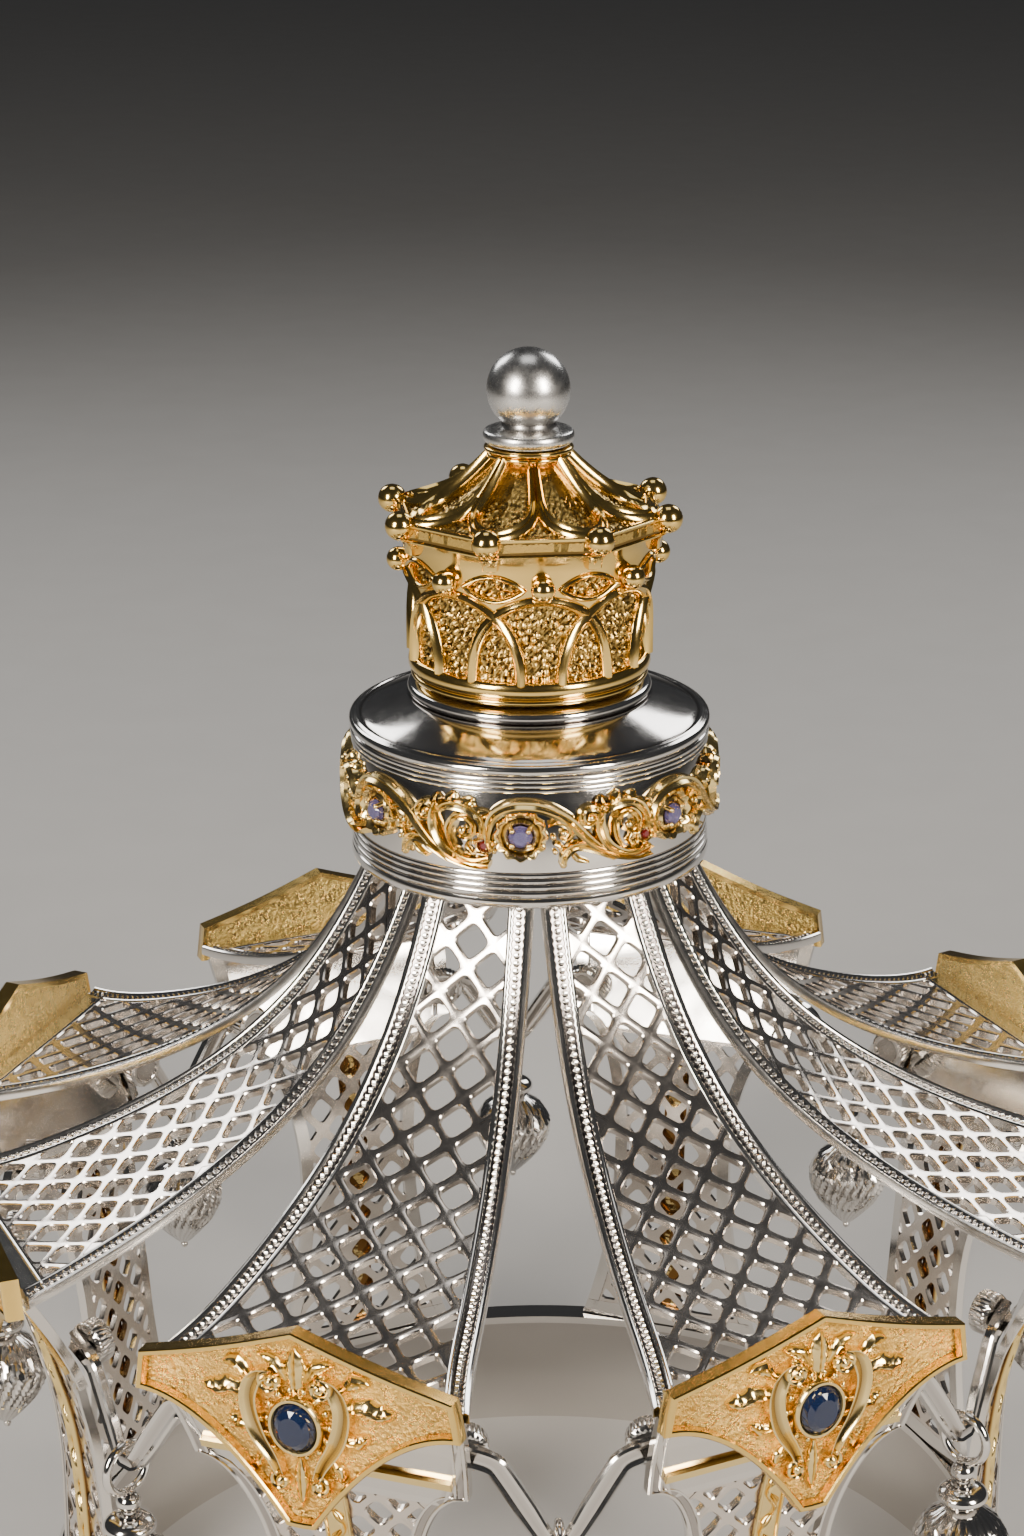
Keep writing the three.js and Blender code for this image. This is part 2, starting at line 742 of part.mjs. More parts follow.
const shapes = {
  upperPanel: makeUpperPanel(),
  lowerArm: makeLowerArm(),
  plaque: makePlaque(),
  sapphire: makeSapphire(),
  strut: makeStrut(),
  drop: makeDrop(),
};

for (let k = 0; k < ARMS; k++) {
  const arm = new THREE.Group();
  arm.rotation.z = ARM_START + k * ARM_STEP;
  arm.add(piece(`upper_panel_${k + 1}`, shapes.upperPanel, silver()));
  arm.add(piece(`lower_arm_${k + 1}`, shapes.lowerArm, silver()));
  arm.add(piece(`plaque_${k + 1}`, shapes.plaque, gold()));
  arm.add(piece(`sapphire_${k + 1}`, shapes.sapphire, gem(0x101f4a)));
  crown.add(arm);

  const between = new THREE.Group();
  between.rotation.z = k * ARM_STEP;
  between.add(piece(`strut_${k + 1}`, shapes.strut, silver()));
  between.add(piece(`pendant_${k + 1}`, shapes.drop, silver()));
  crown.add(between);
}

crown.add(piece('base_circlet', makeCirclet(), silver()));

export default crown;
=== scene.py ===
"""The looks of the Torah crown: polished silver, chased and matted gilding, and set stones.

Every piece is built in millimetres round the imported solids, in their frame, and scaled to metres
when it becomes an object. A pattern is drawn flat and laid on its surface by a map, a function
that turns (across, along, height) into a place on the crown.
"""

import math

import bpy
import bmesh
import numpy as np
from mathutils import Matrix, Vector, noise


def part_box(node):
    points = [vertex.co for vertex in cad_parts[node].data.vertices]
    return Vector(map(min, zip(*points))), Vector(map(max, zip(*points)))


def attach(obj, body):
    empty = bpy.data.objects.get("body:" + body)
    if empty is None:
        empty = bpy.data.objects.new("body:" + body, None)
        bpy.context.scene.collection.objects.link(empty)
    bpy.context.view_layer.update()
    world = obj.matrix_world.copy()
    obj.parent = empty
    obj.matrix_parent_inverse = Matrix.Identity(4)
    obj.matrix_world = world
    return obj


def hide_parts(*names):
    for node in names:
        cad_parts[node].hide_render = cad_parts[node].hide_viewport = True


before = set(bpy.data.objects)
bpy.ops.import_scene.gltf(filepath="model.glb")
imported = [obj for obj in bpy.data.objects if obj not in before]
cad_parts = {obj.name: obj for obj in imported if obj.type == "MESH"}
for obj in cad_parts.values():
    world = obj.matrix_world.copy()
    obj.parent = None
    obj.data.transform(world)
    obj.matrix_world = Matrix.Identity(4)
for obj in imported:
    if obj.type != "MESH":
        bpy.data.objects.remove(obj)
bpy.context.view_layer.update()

MM = 0.001
TURN = 2 * math.pi
AXIS = 0.02                            # a turned form's first and last radius

ARMS = 8
ARM_STEP = TURN / ARMS
ARM_START = ARM_STEP / 2
CUPOLA_TURN = ARM_START + math.radians(3.5)
STONES = sum(name.startswith("hub_stone_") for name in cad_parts)


def low(node, axis=2):
    """A CAD node's lowest value along an axis, in millimetres."""
    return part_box(node)[0][axis] / MM


def high(node, axis=2):
    """A CAD node's highest value along an axis, in millimetres."""
    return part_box(node)[1][axis] / MM


# ---- Driving sizes, in millimetres, anchored on the frame ----

HUB_LOW = low("hub")
HUB_TOP = high("hub")
HUB_RIM = high("hub", 0)
BAND = HUB_RIM - 0.6                   # the plain wall behind the frieze
BAND_LOW = HUB_LOW + 6.2
BAND_TOP = HUB_LOW + 20
HUB_WALL = 1.3
SHEET = 1.3                            # silver sheet of the arms

DRUM_FOOT = low("cupola")
EAVE_Z = DRUM_FOOT + 26.7
NECK_Z = high("cupola")
ROOF_FOOT = EAVE_Z + 2.1
EAVE = 21.8                            # apothem of the eight-sided roof
NECK = 6.3
ROOF_RISE = NECK_Z - 1.9 - ROOF_FOOT

DRUM_WAIST = 19.6                      # the drum's radius at the arches' feet
DRUM_SHOULDER = 20                     # and at the lens-shaped fields
ARCH_FOOT = DRUM_FOOT + 4.3
ARCH_RISE = 14.6
ARCH_HALF = math.radians(35)
ARCH_POWER = 0.9                       # 1 would be a half ellipse
CORNICE_Z = ARCH_FOOT + 16.3
LENS_Z = CORNICE_Z - 0.2               # the fields between the arches' shoulders
LENS_HALF = 5.0
LENS_RISE = 2.1

# Ribs of the roof: (off the hip, up), as shares of half a face and of the way to the neck
LOOP = ((0.80, 1.0), (0.83, 0.86), (0.84, 0.72), (0.82, 0.58), (0.74, 0.44), (0.58, 0.325),
        (0.36, 0.235), (0.15, 0.185), (0.0, 0.165))
SWEEP = ((0.93, 0.60), (0.90, 0.50), (0.82, 0.385), (0.68, 0.275), (0.50, 0.185), (0.3, 0.12),
         (0.1, 0.08))

BALL_RADIUS = 7
BALL_Z = high("finial") - BALL_RADIUS
COLLAR_Z = low("finial")

FRIEZE_MIDDLE = HUB_LOW + 13.0
FRIEZE_WALL = BAND + 0.3
FRIEZE_SPAN = TURN * FRIEZE_WALL / STONES
RED_STONE = (21.6, -1.9)               # its place in a repeat, counted from the violet stone

UPPER_START = 24.9                     # where a panel starts inside the hub's foot
UPPER_BORDER = 4.2
BEAD_PITCH = 1.3
UPPER_CELL = (8.3, 8.75, (0, 0.15, 0.33, 0.67, 0.85))   # across, along, marks on an edge
LOWER_CELL = (7.2, 8.0, (0, 0.22, 0.78))
BAR = 1.4
CELL_INSET = {"bar": BAR / 2, "end": 0.7, "rail": 0.15}
BAR_CROWN = 0.06
HOLE_BEVEL = 0.22
HOLE_CORNER = 1.25
SMALLEST_HOLE = 1.6                    # square millimetres

TAB = 20                               # a lower arm's head, and its narrowest place, from its top
WAIST = 48
LOWER_BORDER = 2.4
STRIP_WAVE = 9.0
ON_SHEET = -0.02                       # trim on a sheet starts this far above it

PLAQUE_TOP = high("plaque_1")
PLAQUE_STONE = PLAQUE_TOP - 16.4
PLAQUE_HALF = 25.6
PLAQUE_BACK = 102.1
PLAQUE_LEAN = math.radians(3)
PLAQUE_DEPTH = 3.0
PLAQUE_FLOOR = 1.0

STRUT_N = 96.3                         # distance of a strut's low point from the axis
STRUT_LOW = low("strut_1") + 1.3
STRUT_BEND = 0.23                      # how fast a strut goes back to both sides
NUT_ACROSS = 14.2
NUT_Z = STRUT_LOW + 12.2 + 2 * (NUT_ACROSS - 9.6) / 7
NUT_TEETH = 24
RING_Z = STRUT_LOW - 1.6               # centre of a drop's ring
FLUTES = 26

BASE_OUTER = high("base_circlet", 0)
BASE_TOP = high("base_circlet")
BASE_BAND = BASE_OUTER - 2

SOFTBOXES = (                          # name, size, power, azimuth, elevation, distance, colour
    ("key_left", (0.22, 0.42), 12, -42, 22, 0.9, (1, 0.93, 0.84)),
    ("key_right", (0.22, 0.42), 11, 42, 22, 0.9, (1, 0.92, 0.82)),
    ("back_left", (0.3, 0.4), 2.5, -145, 30, 1.1, (1, 1, 1)),
    ("back_right", (0.3, 0.4), 2.5, 145, 30, 1.1, (1, 1, 1)),
    ("overhead", (0.7, 0.7), 2, 180, 80, 1.6, (1, 1, 1)),
)


# ---- Places ----

def place(t, n, z):
    """Points from the distance across (t), out from the axis (n) and height, facing -Y."""
    t, n, z = np.broadcast_arrays(np.asarray(t, float), np.asarray(n, float), np.asarray(z, float))
    return np.stack([t, -n, z], -1)


def polar(angle, radius, z):
    """The same from an angle, counted from -Y towards +X, and a radius."""
    return place(radius * np.sin(angle), radius * np.cos(angle), z)


def arc(centre, radii, start, end, count):
    """Points along an arc of an upright ellipse, as (distance from the axis, height) pairs."""
    return [(centre[0] + radii[0] * math.cos(a), centre[1] + radii[1] * math.sin(a))
            for a in np.linspace(start, end, count)]


def circle(count):
    """Evenly spaced angles once round."""
    return np.linspace(0, TURN, count, endpoint=False)


def directions_along(line, closed=False):
    """The unit direction of a line at each of its points."""
    run = np.roll(line, -1, 0) - np.roll(line, 1, 0) if closed else np.gradient(line, axis=0)
    return run / np.maximum(np.linalg.norm(run, axis=1), 1e-9)[:, None]


def left_of(run):
    """Flat directions turned a quarter to the left."""
    return np.stack([-run[:, 1], run[:, 0]], -1)


class Path:
    """A line in the (distance from the axis, height) plane, walked by its length."""

    def __init__(self, points):
        self.points = np.asarray(points, float)
        runs = np.linalg.norm(np.diff(self.points, axis=0), axis=1)
        self.marks = np.concatenate([[0], np.cumsum(runs)])
        self.length = self.marks[-1]
        slopes = np.gradient(self.points, self.marks, axis=0)
        self.slopes = slopes / np.linalg.norm(slopes, axis=1)[:, None]

    def at(self, s):
        s = np.clip(s, 0, self.length)
        return [np.interp(s, self.marks, self.points[:, i]) for i in (0, 1)]

    def run(self, s):
        s = np.clip(s, 0, self.length)
        return [np.interp(s, self.marks, self.slopes[:, i]) for i in (0, 1)]

    def map(self):
        """Lays (across, along, height over the outer face) on the bent sheet."""
        def lay(t, s, h):
            n, z = self.at(s)
            run_n, run_z = self.run(s)
            return place(t, n - run_z * h, z + run_n * h)
        return lay


def smooth_line(points, per_span=8, closed=False):
    """A smooth curve through a few points."""
    p = np.asarray(points, float)
    if closed:
        p = np.vstack([p[-1], p, p[0], p[1]])
    else:
        p = np.vstack([2 * p[0] - p[1], p, 2 * p[-1] - p[-2]])
    out = []
    for i in range(1, len(p) - 2):
        for u in np.arange(per_span) / per_span:
            a, b, c, d = p[i - 1], p[i], p[i + 1], p[i + 2]
            out.append(0.5 * (2 * b + (c - a) * u + (2 * a - 5 * b + 4 * c - d) * u ** 2
                              + (3 * b - a - 3 * c + d) * u ** 3))
    if not closed:
        out.append(p[-2])
    return np.array(out)


def volute(centre, radius, start, turns, eye=0.3, count=18):
    """A spiral from its outer end inwards; turns are signed, eye is the last radius's share."""
    u = np.linspace(0, 1, count)
    angle = start + turns * TURN * u
    r = radius * (1 - (1 - eye) * u)
    return np.stack([centre[0] + r * np.cos(angle), centre[1] + r * np.sin(angle)], -1)


# ---- Bodies ----

class Body:
    """Collects the skins that make up one piece."""

    def __init__(self):
        self.points = []
        self.faces = []
        self.count = 0

    def add(self, points, faces):
        start = self.count
        points = np.asarray(points, float).reshape(-1, 3)
        self.points.append(points)
        self.count += len(points)
        if len(faces):
            self.faces.append(np.asarray(faces, int) + start)
        return start

    def skin(self, rows, around=True, endless=False, caps=True):
        """A skin over rows of points. around closes each row, endless joins the last to the first."""
        rows = np.asarray(rows, float)
        m, n = rows.shape[:2]
        index = np.arange(m * n).reshape(m, n)
        here = index if endless else index[:-1]
        next_row = np.roll(index, -1, 0) if endless else index[1:]
        if around:
            quads = [here, np.roll(here, -1, 1), np.roll(next_row, -1, 1), next_row]
        else:
            quads = [here[:, :-1], here[:, 1:], next_row[:, 1:], next_row[:, :-1]]
        start = self.add(rows, np.stack(quads, -1).reshape(-1, 4))
        if caps and around and not endless:
            for ring, flip in ((0, -1), (m - 1, 1)):
                centre = self.add(rows[ring].mean(0), [])
                edge = index[ring] + start
                fan = np.stack([edge, np.roll(edge, -flip), np.full(n, centre)], -1)
                self.faces.append(fan)

    def turned(self, profile, sides, centre=(0, 0), closed=False):
        """A turned form: (radius, height) pairs, from the axis to the axis or closed on itself."""
        profile = np.asarray(profile, float)
        rows = polar(circle(sides)[None, :], profile[:, 0][:, None], profile[:, 1][:, None])
        rows = rows + np.array([centre[0], centre[1], 0])
        self.skin(rows, endless=closed, caps=False)

    def ribbon(self, lay, line, width, height, sink=0.3, section="round", base=0.0, sides=8,
               closed=False):
        """A raised strip along a line on a surface. Its width may change along it."""
        line = np.asarray(line, float)
        width = np.broadcast_to(np.asarray(width, float), (len(line),))
        across = left_of(directions_along(line, closed))
        v = np.cos(np.linspace(0, math.pi, sides + 1))
        lift = SECTIONS[section](v)
        v = np.concatenate([v, [-1.0, 1.0]])
        xy = line[:, None, :] + across[:, None, :] * (v[None, :, None] * width[:, None, None])
        h = np.empty((len(line), len(v)))
        h[:, :sides + 1] = base + height * lift
        h[:, sides + 1:] = -sink
        self.skin(lay(xy[..., 0], xy[..., 1], h), endless=closed)

    def leaf(self, lay, line, width, height, lobes=4, sink=0.3, base=0.0, cut=0.24, per_span=7):
        """A lobed leaf along a line: ribs run out from a grooved spine to each lobe's tip."""
        line = smooth_line(line, per_span)
        count = len(line)
        u = np.linspace(0, 1, count)
        outline = np.sin(math.pi * np.clip(u * 0.93 + 0.07, 0, 1)) ** 0.7
        outline = outline * (1 - cut * np.abs(np.sin(math.pi * lobes * u)) ** 0.6 * (u < 0.97))
        run = directions_along(line)
        across = left_of(run)
        v = np.linspace(-1, 1, 9)
        half = width * outline
        # lobes sweep forward, so their ribs lean towards the tip
        lean = 0.35 * width * np.abs(v)
        xy = (line[:, None, :] + across[:, None, :] * (v[None, :, None] * half[:, None, None])
              + run[:, None, :] * (lean[None, :, None] * outline[:, None, None]))
        ribs = 0.10 * np.cos(TURN * lobes * (u[:, None] - 0.14 * np.abs(v)[None, :]))
        crown = (1 - 0.75 * v ** 2) - 0.34 * np.exp(-(v / 0.16) ** 2)
        h = base + height * (0.35 + 0.65 * outline[:, None]) * (crown[None, :] + ribs * np.abs(v))
        rows = lay(xy[..., 0], xy[..., 1], h)
        under = lay(xy[:, (-1, 0), 0], xy[:, (-1, 0), 1], np.full((count, 2), -sink))
        self.skin(np.concatenate([rows, under], 1))

    def ball(self, centre, radius, sides, rows):
        angle = np.linspace(-math.pi / 2, math.pi / 2, rows + 1)[1:-1]
        around = circle(sides)
        x = radius * np.cos(angle)[:, None] * np.cos(around)[None, :]
        y = radius * np.cos(angle)[:, None] * np.sin(around)[None, :]
        z = np.broadcast_to(radius * np.sin(angle)[:, None], x.shape)
        self.skin(np.stack([x, y, z], -1) + np.asarray(centre, float))

    def tube(self, line, radius, sides, closed=False):
        """A round wire along a line in space."""
        line = np.asarray(line, float)
        run = directions_along(line, closed)
        side = np.cross(run, [0.31, 0.17, 0.93])
        side = side / np.linalg.norm(side, axis=1)[:, None]
        up = np.cross(side, run)
        angle = circle(sides)
        radius = np.broadcast_to(np.asarray(radius, float), (len(line),))[:, None, None]
        rows = line[:, None, :] + radius * (side[:, None, :] * np.cos(angle)[None, :, None]
                                            + up[:, None, :] * np.sin(angle)[None, :, None])
        self.skin(rows, endless=closed)

    def mesh(self, name):
        """The skins as one Blender mesh in metres, welded, with their faces turned outwards."""
        points = np.concatenate(self.points) * MM
        sizes = np.concatenate([np.full(len(f), f.shape[1]) for f in self.faces])
        corners = np.concatenate([f.ravel() for f in self.faces])
        mesh = bpy.data.meshes.new(name)
        mesh.vertices.add(len(points))
        mesh.vertices.foreach_set("co", points.astype(np.float32).ravel())
        mesh.loops.add(len(corners))
        mesh.loops.foreach_set("vertex_index", corners.astype(np.int32))
        mesh.polygons.add(len(sizes))
        starts = np.concatenate([[0], np.cumsum(sizes)[:-1]])
        mesh.polygons.foreach_set("loop_start", starts.astype(np.int32))
        mesh.polygons.foreach_set("loop_total", sizes.astype(np.int32))
        mesh.update(calc_edges=True)
        work = bmesh.new()
        work.from_mesh(mesh)
        bmesh.ops.remove_doubles(work, verts=work.verts, dist=2e-6)
        bmesh.ops.dissolve_degenerate(work, edges=work.edges, dist=1e-7)
        bmesh.ops.recalc_face_normals(work, faces=work.faces)
        work.to_mesh(mesh)
        work.free()
        return mesh


# How high a strip stands at each share of its half width
SECTIONS = {
    "round": lambda v: np.sqrt(np.maximum(0, 1 - v ** 2)),
    "crest": lambda v: 0.55 * np.sqrt(np.maximum(0, 1 - v ** 2)) + 0.45 * (1 - np.abs(v)),
    "flat": lambda v: np.minimum(1, 2.6 * np.sqrt(np.maximum(0, 1 - v ** 2))),
    "grooved": lambda v: (np.sqrt(np.maximum(0, 1 - v ** 2))
                          * (1 - 0.38 * np.exp(-((v - 0.3) / 0.14) ** 2)
                             - 0.30 * np.exp(-((v + 0.35) / 0.14) ** 2))),
    "hollow": lambda v: (np.minimum(1, 3 * np.sqrt(np.maximum(0, 1 - v ** 2)))
                         - 0.42 * np.maximum(0, 1 - (v / 0.72) ** 2)),
}


def show(name, body_or_mesh, material, slot, replaced=(), angle=0.0, sharp=38, flat=False):
    """Makes the object, turned into its place round the axis, hides the CAD nodes it replaces and hangs it
    under the root body.
    """
    if isinstance(body_or_mesh, Body):
        mesh = body_or_mesh.mesh(name)
    else:
        mesh = body_or_mesh.copy()
    mesh.name = name
    if angle:
        mesh.transform(Matrix.Rotation(angle, 4, "Z"))
    mesh.polygons.foreach_set("use_smooth", [not flat] * len(mesh.polygons))
    if not flat:
        mesh.set_sharp_from_angle(angle=math.radians(sharp))
    mesh.materials.clear()
    mesh.materials.append(material)
    piece = bpy.data.objects.new(name, mesh)
    bpy.context.scene.collection.objects.link(piece)
    if replaced:
        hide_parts(*replaced)
    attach(piece, "root")
    return piece


def show_round(kind, body, material, slot, node, start, **looks):
    """Eight copies of a piece round the crown; each replaces its own CAD node, if it has one."""
    mesh = body.mesh(kind)
    for k in range(ARMS):
        replaced = [f"{node}_{k + 1}"] if node else []
        show(f"{kind}_{k + 1}", mesh, material, slot, replaced, start + k * ARM_STEP, **looks)


# ---- Materials ----

def new_material(name):
    material = bpy.data.materials.new(name)
    material.use_nodes = True
    tree = material.node_tree
    return material, tree, tree.nodes["Principled BSDF"]


def texture(tree, scale, detail=4.0, kind="ShaderNodeTexNoise", stretch=(1, 1, 1)):
    """A procedural texture in object space; scale counts features in a metre."""
    where = tree.nodes.new("ShaderNodeTexCoord")
    mapping = tree.nodes.new("ShaderNodeMapping")
    mapping.inputs["Scale"].default_value = stretch
    tree.links.new(where.outputs["Object"], mapping.inputs["Vector"])
    node = tree.nodes.new(kind)
    node.inputs["Scale"].default_value = scale
    if "Detail" in node.inputs:
        node.inputs["Detail"].default_value = detail
    tree.links.new(mapping.outputs["Vector"], node.inputs["Vector"])
    return node


def ramp(tree, value, stops):
    """Turns a value into a colour by stops of (position, colour)."""
    node = tree.nodes.new("ShaderNodeValToRGB")
    elements = node.color_ramp.elements
    while len(elements) < len(stops):
        elements.new(0.5)
    for element, (position, colour) in zip(elements, stops):
        element.position = position
        element.color = (*colour, 1)
    tree.links.new(value, node.inputs["Fac"])
    return node.outputs["Color"]


def mix(tree, share, first, second, blend="MIX"):
    node = tree.nodes.new("ShaderNodeMix")
    node.data_type = "RGBA"
    node.blend_type = blend
    for index, value in ((0, share), (6, first), (7, second)):
        if isinstance(value, (int, float, tuple)):
            node.inputs[index].default_value = value if index == 0 else (*value, 1)
        else:
            tree.links.new(value, node.inputs[index])
    return node.outputs[2]


def spread(tree, value, low_value, high_value, start=0.3, end=0.7):
    node = tree.nodes.new("ShaderNodeMapRange")
    node.inputs["From Min"].default_value = start
    node.inputs["From Max"].default_value = end
    node.inputs["To Min"].default_value = low_value
    node.inputs["To Max"].default_value = high_value
    tree.links.new(value, node.inputs["Value"])
    return node.outputs["Result"]


def bump(tree, height, distance, strength=1.0, under=None):
    node = tree.nodes.new("ShaderNodeBump")
    node.inputs["Distance"].default_value = distance
    node.inputs["Strength"].default_value = strength
    tree.links.new(height, node.inputs["Height"])
    if under is not None:
        tree.links.new(under, node.inputs["Normal"])
    return node.outputs["Normal"]


def metal(name, colour, recess_shade_tarnish, roughness, grain=0.0, grain_scale=2600, cavity=(0.44, 0.52),
          dimples=0.0):
    """A metal that is darker in its recesses, where painted shade and tarnish are laid in, with a varied
    polish and fine scratches.
    """
    material, tree, shader = new_material(name)
    shader.inputs["Metallic"].default_value = 1.0
    geometry = tree.nodes.new("ShaderNodeNewGeometry")
    # painted shade and tarnish: pointiness darkens the hollows towards the recess colour
    depth = ramp(tree, geometry.outputs["Pointiness"],
                 [(cavity[0], (0, 0, 0)), (cavity[1], (1, 1, 1))])
    clouds = texture(tree, 90, 3)
    tone = mix(tree, spread(tree, clouds.outputs["Fac"], 0.0, 0.16), colour,
               tuple(c * 0.82 for c in colour))
    tree.links.new(mix(tree, depth, recess_shade_tarnish, tone), shader.inputs["Base Color"])
    smear = texture(tree, 420, 5)
    scratches = texture(tree, 2200, 2, stretch=(1, 0.12, 1))
    polish = mix(tree, 0.35, smear.outputs["Color"], scratches.outputs["Color"])
    tree.links.new(spread(tree, polish, roughness[0], roughness[1]), shader.inputs["Roughness"])
    normal = bump(tree, scratches.outputs["Fac"], 0.000004, 0.5)
    if grain:
        stipple = texture(tree, grain_scale, 3)
        normal = bump(tree, stipple.outputs["Fac"], grain, 1.0, normal)
    if dimples:
        cells = texture(tree, 1300, kind="ShaderNodeTexVoronoi")
        normal = bump(tree, cells.outputs["Distance"], dimples, 1.0, normal)
    tree.links.new(normal, shader.inputs["Normal"])
    return material


def gem(name, colour, inner, transmission, ior):
    """A cut stone, a little deeper in colour towards parts of it."""
    material, tree, shader = new_material(name)
    clouds = texture(tree, 500, 2)
    tree.links.new(mix(tree, clouds.outputs["Fac"], colour, inner), shader.inputs["Base Color"])
    shader.inputs["Roughness"].default_value = 0.04
    shader.inputs["IOR"].default_value = ior
    shader.inputs["Transmission Weight"].default_value = transmission
    shader.inputs["Coat Weight"].default_value = 0.25
    shader.inputs["Coat Roughness"].default_value = 0.03
    return material


SILVER = (0.80, 0.77, 0.73)
SILVER_WARM = (0.80, 0.73, 0.66)
GOLD = (0.93, 0.64, 0.20)
GOLD_DEEP = (0.82, 0.54, 0.15)

# each metal's second colour is its recess colour: painted shade together with tarnish
polished_silver = metal("polished_silver", SILVER, (0.30, 0.27, 0.25), (0.07, 0.16))
satin_silver = metal("satin_silver", (0.80, 0.79, 0.77), (0.3, 0.28, 0.26), (0.20, 0.34),
                     grain=0.000006, grain_scale=5000)
arm_silver = metal("arm_silver", SILVER_WARM, (0.34, 0.28, 0.24), (0.13, 0.24))
bead_silver = metal("bead_silver", SILVER, (0.16, 0.13, 0.12), (0.10, 0.2))
polished_gold = metal("polished_gold", GOLD, (0.30, 0.15, 0.04), (0.09, 0.18), cavity=(0.40, 0.5))
chased_gold = metal("chased_gold", (0.95, 0.72, 0.30), (0.20, 0.10, 0.03), (0.11, 0.22),
                    cavity=(0.42, 0.5))
matted_gold = metal("matted_gold", GOLD_DEEP, (0.10, 0.05, 0.012), (0.20, 0.34),
                    grain=0.00005, grain_scale=1500, cavity=(0.46, 0.54))
stippled_gold = metal("stippled_gold", GOLD, (0.30, 0.15, 0.04), (0.22, 0.34),
                      grain=0.00010, grain_scale=1400, dimples=0.00045)
sapphire_blue = gem("sapphire_blue", (0.004, 0.010, 0.04), (0.012, 0.024, 0.07), 0.3, 1.6)
violet_crystal = gem("violet_crystal", (0.24, 0.20, 0.40), (0.09, 0.08, 0.24), 0.5, 1.7)
garnet_red = gem("garnet_red", (0.30, 0.008, 0.008), (0.12, 0.0, 0.0), 0.4, 1.75)


# ---- Camera, lights and floor ----

def make_camera():
    """The photograph's view: from just left of the front, above, on the crown's top."""
    stand = Vector((-0.0218, -0.52025, 0.3603))
    heading = math.radians(4.996)
    pitch = 0.3350
    roll = -0.0108
    focal = 74.69
    forward = Vector((math.sin(heading) * math.cos(pitch), math.cos(heading) * math.cos(pitch),
                      -math.sin(pitch)))
    right = Vector((math.cos(heading), -math.sin(heading), 0))
    up = right.cross(forward)
    tilted_right = right * math.cos(roll) - up * math.sin(roll)
    tilted_up = right * math.sin(roll) + up * math.cos(roll)
    data = bpy.data.cameras.new("camera")
    data.lens = focal
    data.sensor_width = 36
    data.shift_x = -0.1006
    data.clip_start = 0.01
    data.clip_end = 50
    camera = bpy.data.objects.new("camera", data)
    bpy.context.scene.collection.objects.link(camera)
    turn = Matrix((tilted_right, tilted_up, -forward)).transposed()
    camera.matrix_world = Matrix.Translation(stand) @ turn.to_4x4()
    bpy.context.scene.camera = camera


def area_light(name, size, power, azimuth, elevation, distance, colour):
    """A softbox turned to the crown's middle; azimuth counts from -Y towards +X."""
    data = bpy.data.lights.new(name, "AREA")
    data.shape = "RECTANGLE"
    data.size, data.size_y = size
    data.energy = power
    data.color = colour
    light = bpy.data.objects.new(name, data)
    bpy.context.scene.collection.objects.link(light)
    a, e = math.radians(azimuth), math.radians(elevation)
    target = Vector((0, 0, 0.17))
    light.location = target + distance * Vector((math.sin(a) * math.cos(e),
                                                 -math.cos(a) * math.cos(e), math.sin(e)))
    light.rotation_euler = (target - light.location).to_track_quat("-Z", "Y").to_euler()


def make_stage():
    floor = bpy.data.meshes.new("floor")
    size = 40
    floor.from_pydata([(-size, -size, 0), (size, -size, 0), (size, size, 0), (-size, size, 0)],
                      [], [(0, 1, 2, 3)])
    material, tree, shader = new_material("floor_paper")
    grain = texture(tree, 40, 4)
    tree.links.new(mix(tree, grain.outputs["Fac"], (0.50, 0.49, 0.475), (0.54, 0.53, 0.515)),
                   shader.inputs["Base Color"])
    shader.inputs["Roughness"].default_value = 0.9
    floor.materials.append(material)
    piece = bpy.data.objects.new("floor", floor)
    bpy.context.scene.collection.objects.link(piece)
    world = bpy.data.worlds.new("studio")
    bpy.context.scene.world = world
    world.use_nodes = True
    background = world.node_tree.nodes["Background"]
    background.inputs["Color"].default_value = (0.80, 0.82, 0.86, 1)
    background.inputs["Strength"].default_value = 0.05
    for softbox in SOFTBOXES:
        area_light(*softbox)


make_camera()
make_stage()


# ---- Finial ----

def make_finial():
    neck = 4.5
    z = COLLAR_Z
    collar = arc((7.1, z + 1.25), (0.58, 1.0), -1.4, 1.35, 12)
    ball = arc((0, BALL_Z), (BALL_RADIUS, BALL_RADIUS), -math.acos(neck / BALL_RADIUS), math.pi / 2, 32)
    ball[-1] = (AXIS, ball[-1][1])
    body = Body()
    body.turned([(AXIS, z), (6.9, z), (6.95, z + 0.3), *collar, (6.3, z + 2.45), (5.4, z + 2.6),
                 (4.85, z + 2.85), (4.6, z + 3.2), *ball], 96)
    show("finial_ball", body, satin_silver, "silver", ["finial"], sharp=30)


# ---- Hub ----

def ridges(radius, heights, bulge):
    """Fine turned ridges, half round, between the given heights."""
    out = []
    for start, end in zip(heights, heights[1:]):
        middle = 0.5 * (start + end)
        out += arc((radius(middle) - bulge, middle), (bulge, 0.5 * (end - start)),
                   -math.pi / 2, math.pi / 2, 6)
    return out


def hub_foot():
    heights = [HUB_LOW + h for h in (0, 1.8, 3.0, 4.1, 5.1, 6.1)]
    return ridges(lambda z: HUB_RIM - 0.07 * (z - HUB_LOW), heights, 0.36)


def hub_rim():
    heights = [BAND_TOP + h for h in (0, 0.9, 1.8, 2.7)]
    return ridges(lambda z: HUB_RIM - 0.35 + 0.1 * (z - BAND_TOP), heights, 0.32)


